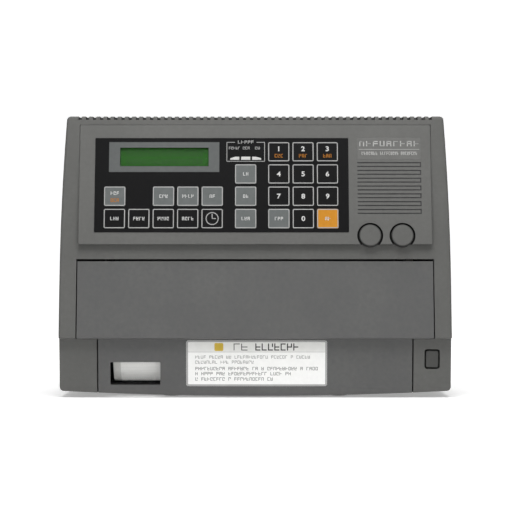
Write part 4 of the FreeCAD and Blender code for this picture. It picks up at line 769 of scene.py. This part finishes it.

# %% [markdown]
# ## Painted shade in the door gaps and vent slots
# Near-black strips stand in the gaps beside the door's lower leaf as painted shade, so the gaps read dark
# all the way down. A near-black sheet stands at the back of each of the fifty vent slots as painted shade, so
# the slots look as if they lead inside. Both are thin blocks drawn on an upright plane through the origin,
# which faces the front.

# %% Door gap shade
GAP_SHADE_X, GAP_SHADE_HALF, GAP_SHADE_LOW, GAP_SHADE_HIGH = 149.75, 0.5, 5.0, 55.0
gap_shade_level = (44.0, 45.5)
front = make_plane((0.0, 0.0, 0.0), (0.0, -1.0, 0.0))
# Painted shade: one near-black finish for the door gaps and the vent slots.
shade_black = moulded("painted_shade_black", "17171a", "222226", rough=0.95, depth_mm=0.1, gloss=0.05)
gaps = [(x - GAP_SHADE_HALF, GAP_SHADE_LOW, x + GAP_SHADE_HALF, GAP_SHADE_HIGH) for x in (GAP_SHADE_X, -GAP_SHADE_X)]
blocks("door_gap_shade", front, gaps, *gap_shade_level, shade_black, "cabinet", "black_plastic")

# %% Vent slot shade
SLOT_COUNT, SLOT_PITCH, SLOT_END, SLOT_FALL = 50, 6.857, 40.0, 3.4
VENT_SHADE_HALF, VENT_SHADE_H, VENT_SHADE_T, CLEAR = 1.5, 2.3, 0.35, 0.05
casing_low, casing_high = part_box("front_casing")
slot_back = -casing_low[1] / MM - SLOT_END
slot_floor = casing_high[2] / MM - SLOT_FALL
slot_centres = SLOT_PITCH * (np.arange(SLOT_COUNT) - (SLOT_COUNT - 1) / 2)
# Painted shade: a near-black sheet at the back of each vent slot.
vent_shade = [(u - VENT_SHADE_HALF, slot_floor + CLEAR, u + VENT_SHADE_HALF, slot_floor + VENT_SHADE_H) for u in slot_centres]
blocks("vent_slot_shade", front, vent_shade, slot_back + CLEAR, slot_back + VENT_SHADE_T, shade_black, "cabinet", "black_plastic")
print("slot back at", round(slot_back, 1), "mm, slot floor at", round(slot_floor, 1), "mm")

# %% [markdown]
# ## The floor
# The set is a white sweep: a floor that curves up into a wall, so no line shows behind the cabinet. Its
# section is straight, then a quarter circle, then straight again. It glows a little, more at the back than
# in front, so that the cabinet's shadow stays faint.

# %% Set
SWEEP_HALF, BEND_START, BEND_RADIUS, WALL_TOP, STRIPS = 4.0, 1.5, 1.0, 5.0, 8
NEAR_GLOW, FAR_GLOW = 0.22, 0.62
span = np.linspace(-SWEEP_HALF, SWEEP_HALF, STRIPS + 1)
arc = np.linspace(0.0, math.pi / 2, 24)
bend = np.column_stack([BEND_START + BEND_RADIUS * np.sin(arc), BEND_RADIUS * (1 - np.cos(arc))])
path = np.concatenate([[(-SWEEP_HALF, 0.0)], bend, [(BEND_START + BEND_RADIUS, WALL_TOP)]])
grid = np.stack(np.meshgrid(span, np.arange(len(path)), indexing="ij"), -1).reshape(-1, 2)
sweep_points = np.column_stack([grid[:, 0], path[grid[:, 1].astype(int)]])
a, b = np.meshgrid(np.arange(STRIPS), np.arange(len(path) - 1), indexing="ij")
corner = (a * len(path) + b).ravel()
sweep_faces = np.column_stack([corner, corner + len(path), corner + len(path) + 1, corner + 1])
sweep_mesh = bpy.data.meshes.new("studio_sweep")
sweep_mesh.from_pydata(sweep_points.tolist(), [], sweep_faces.tolist())
sweep = bpy.data.objects.new("studio_sweep", sweep_mesh)
bpy.context.scene.collection.objects.link(sweep)

# %% White paper of the floor
paper_white, tree, output, where = start_material("studio_paper_white")
depth = node(tree, "ShaderNodeSeparateXYZ", {0: where}).outputs["Y"]
glow = node(tree, "ShaderNodeMapRange", {"Value": depth, "From Min": -0.2, "From Max": 0.5,
                                         "To Min": NEAR_GLOW, "To Max": FAR_GLOW})
shader = node(tree, "ShaderNodeBsdfPrincipled", {"Base Color": linear("f6f6f6"), "Roughness": 0.9,
                                                 "Emission Color": linear("ffffff"),
                                                 "Emission Strength": glow.outputs[0]})
tree.links.new(shader.outputs[0], output.inputs["Surface"])
sweep_mesh.materials.append(paper_white)
print("sweep points:", len(sweep_points))

# %% [markdown]
# ## The light
# A wide soft light from above and in front leaves the lower door in the ridge's shade, and a weak frontal
# light keeps the gaps readable. The surrounding air adds a faint even light.

# %% Lights
AIR_STRENGTH = 0.1
world = bpy.data.worlds.new("studio_air")
bpy.context.scene.world = world
world.use_nodes = True
world.node_tree.nodes["Background"].inputs[0].default_value = (1.0, 1.0, 1.0, 1.0)
world.node_tree.nodes["Background"].inputs[1].default_value = AIR_STRENGTH


def soft_light(name, spot, target, size, watts):
    """Square area light at a spot, turned to face a target."""
    lamp = bpy.data.lights.new(name, "AREA")
    lamp.size = size
    lamp.energy = watts
    item = bpy.data.objects.new(name, lamp)
    item.location = spot
    x, y, z = np.array(target) - np.array(spot)
    item.rotation_euler = (math.atan2(math.hypot(x, y), -z), 0.0, math.atan2(x, -y) + math.pi)
    bpy.context.scene.collection.objects.link(item)
    return item


soft_light("top_softbox", spot=(0.0, -0.5, 1.16), target=(0.0, 0.0, 0.12), size=0.9, watts=16.5)
soft_light("front_fill", spot=(0.0, -2.8, 0.9), target=(0.0, 0.0, 0.15), size=1.6, watts=10.0)
print("lights:", len(bpy.data.lights))

# %% [markdown]
# ## The camera
# It looks straight along Y from a metre and a half in front, at about half the cabinet's height, so
# upright lines stay upright. The long lens keeps the perspective gentle.

# %% Camera
CAMERA_X, CAMERA_BACK, CAMERA_Z, LENS_MM = -0.0002, 1.5, 0.1357, 112.2
ridge_y = cad_box[0][1]
camera_data = bpy.data.cameras.new("studio_camera")
camera_data.sensor_width = 36.0
camera_data.lens = LENS_MM
camera = bpy.data.objects.new("studio_camera", camera_data)
camera.location = (CAMERA_X, ridge_y - CAMERA_BACK, CAMERA_Z)
camera.rotation_euler = (math.pi / 2, 0.0, 0.0)
bpy.context.scene.collection.objects.link(camera)
bpy.context.scene.camera = camera
bpy.context.scene.view_settings.view_transform = "Standard"
print("camera stands", round((ridge_y - camera.location[1]) / MM), "mm in front of the ridge")
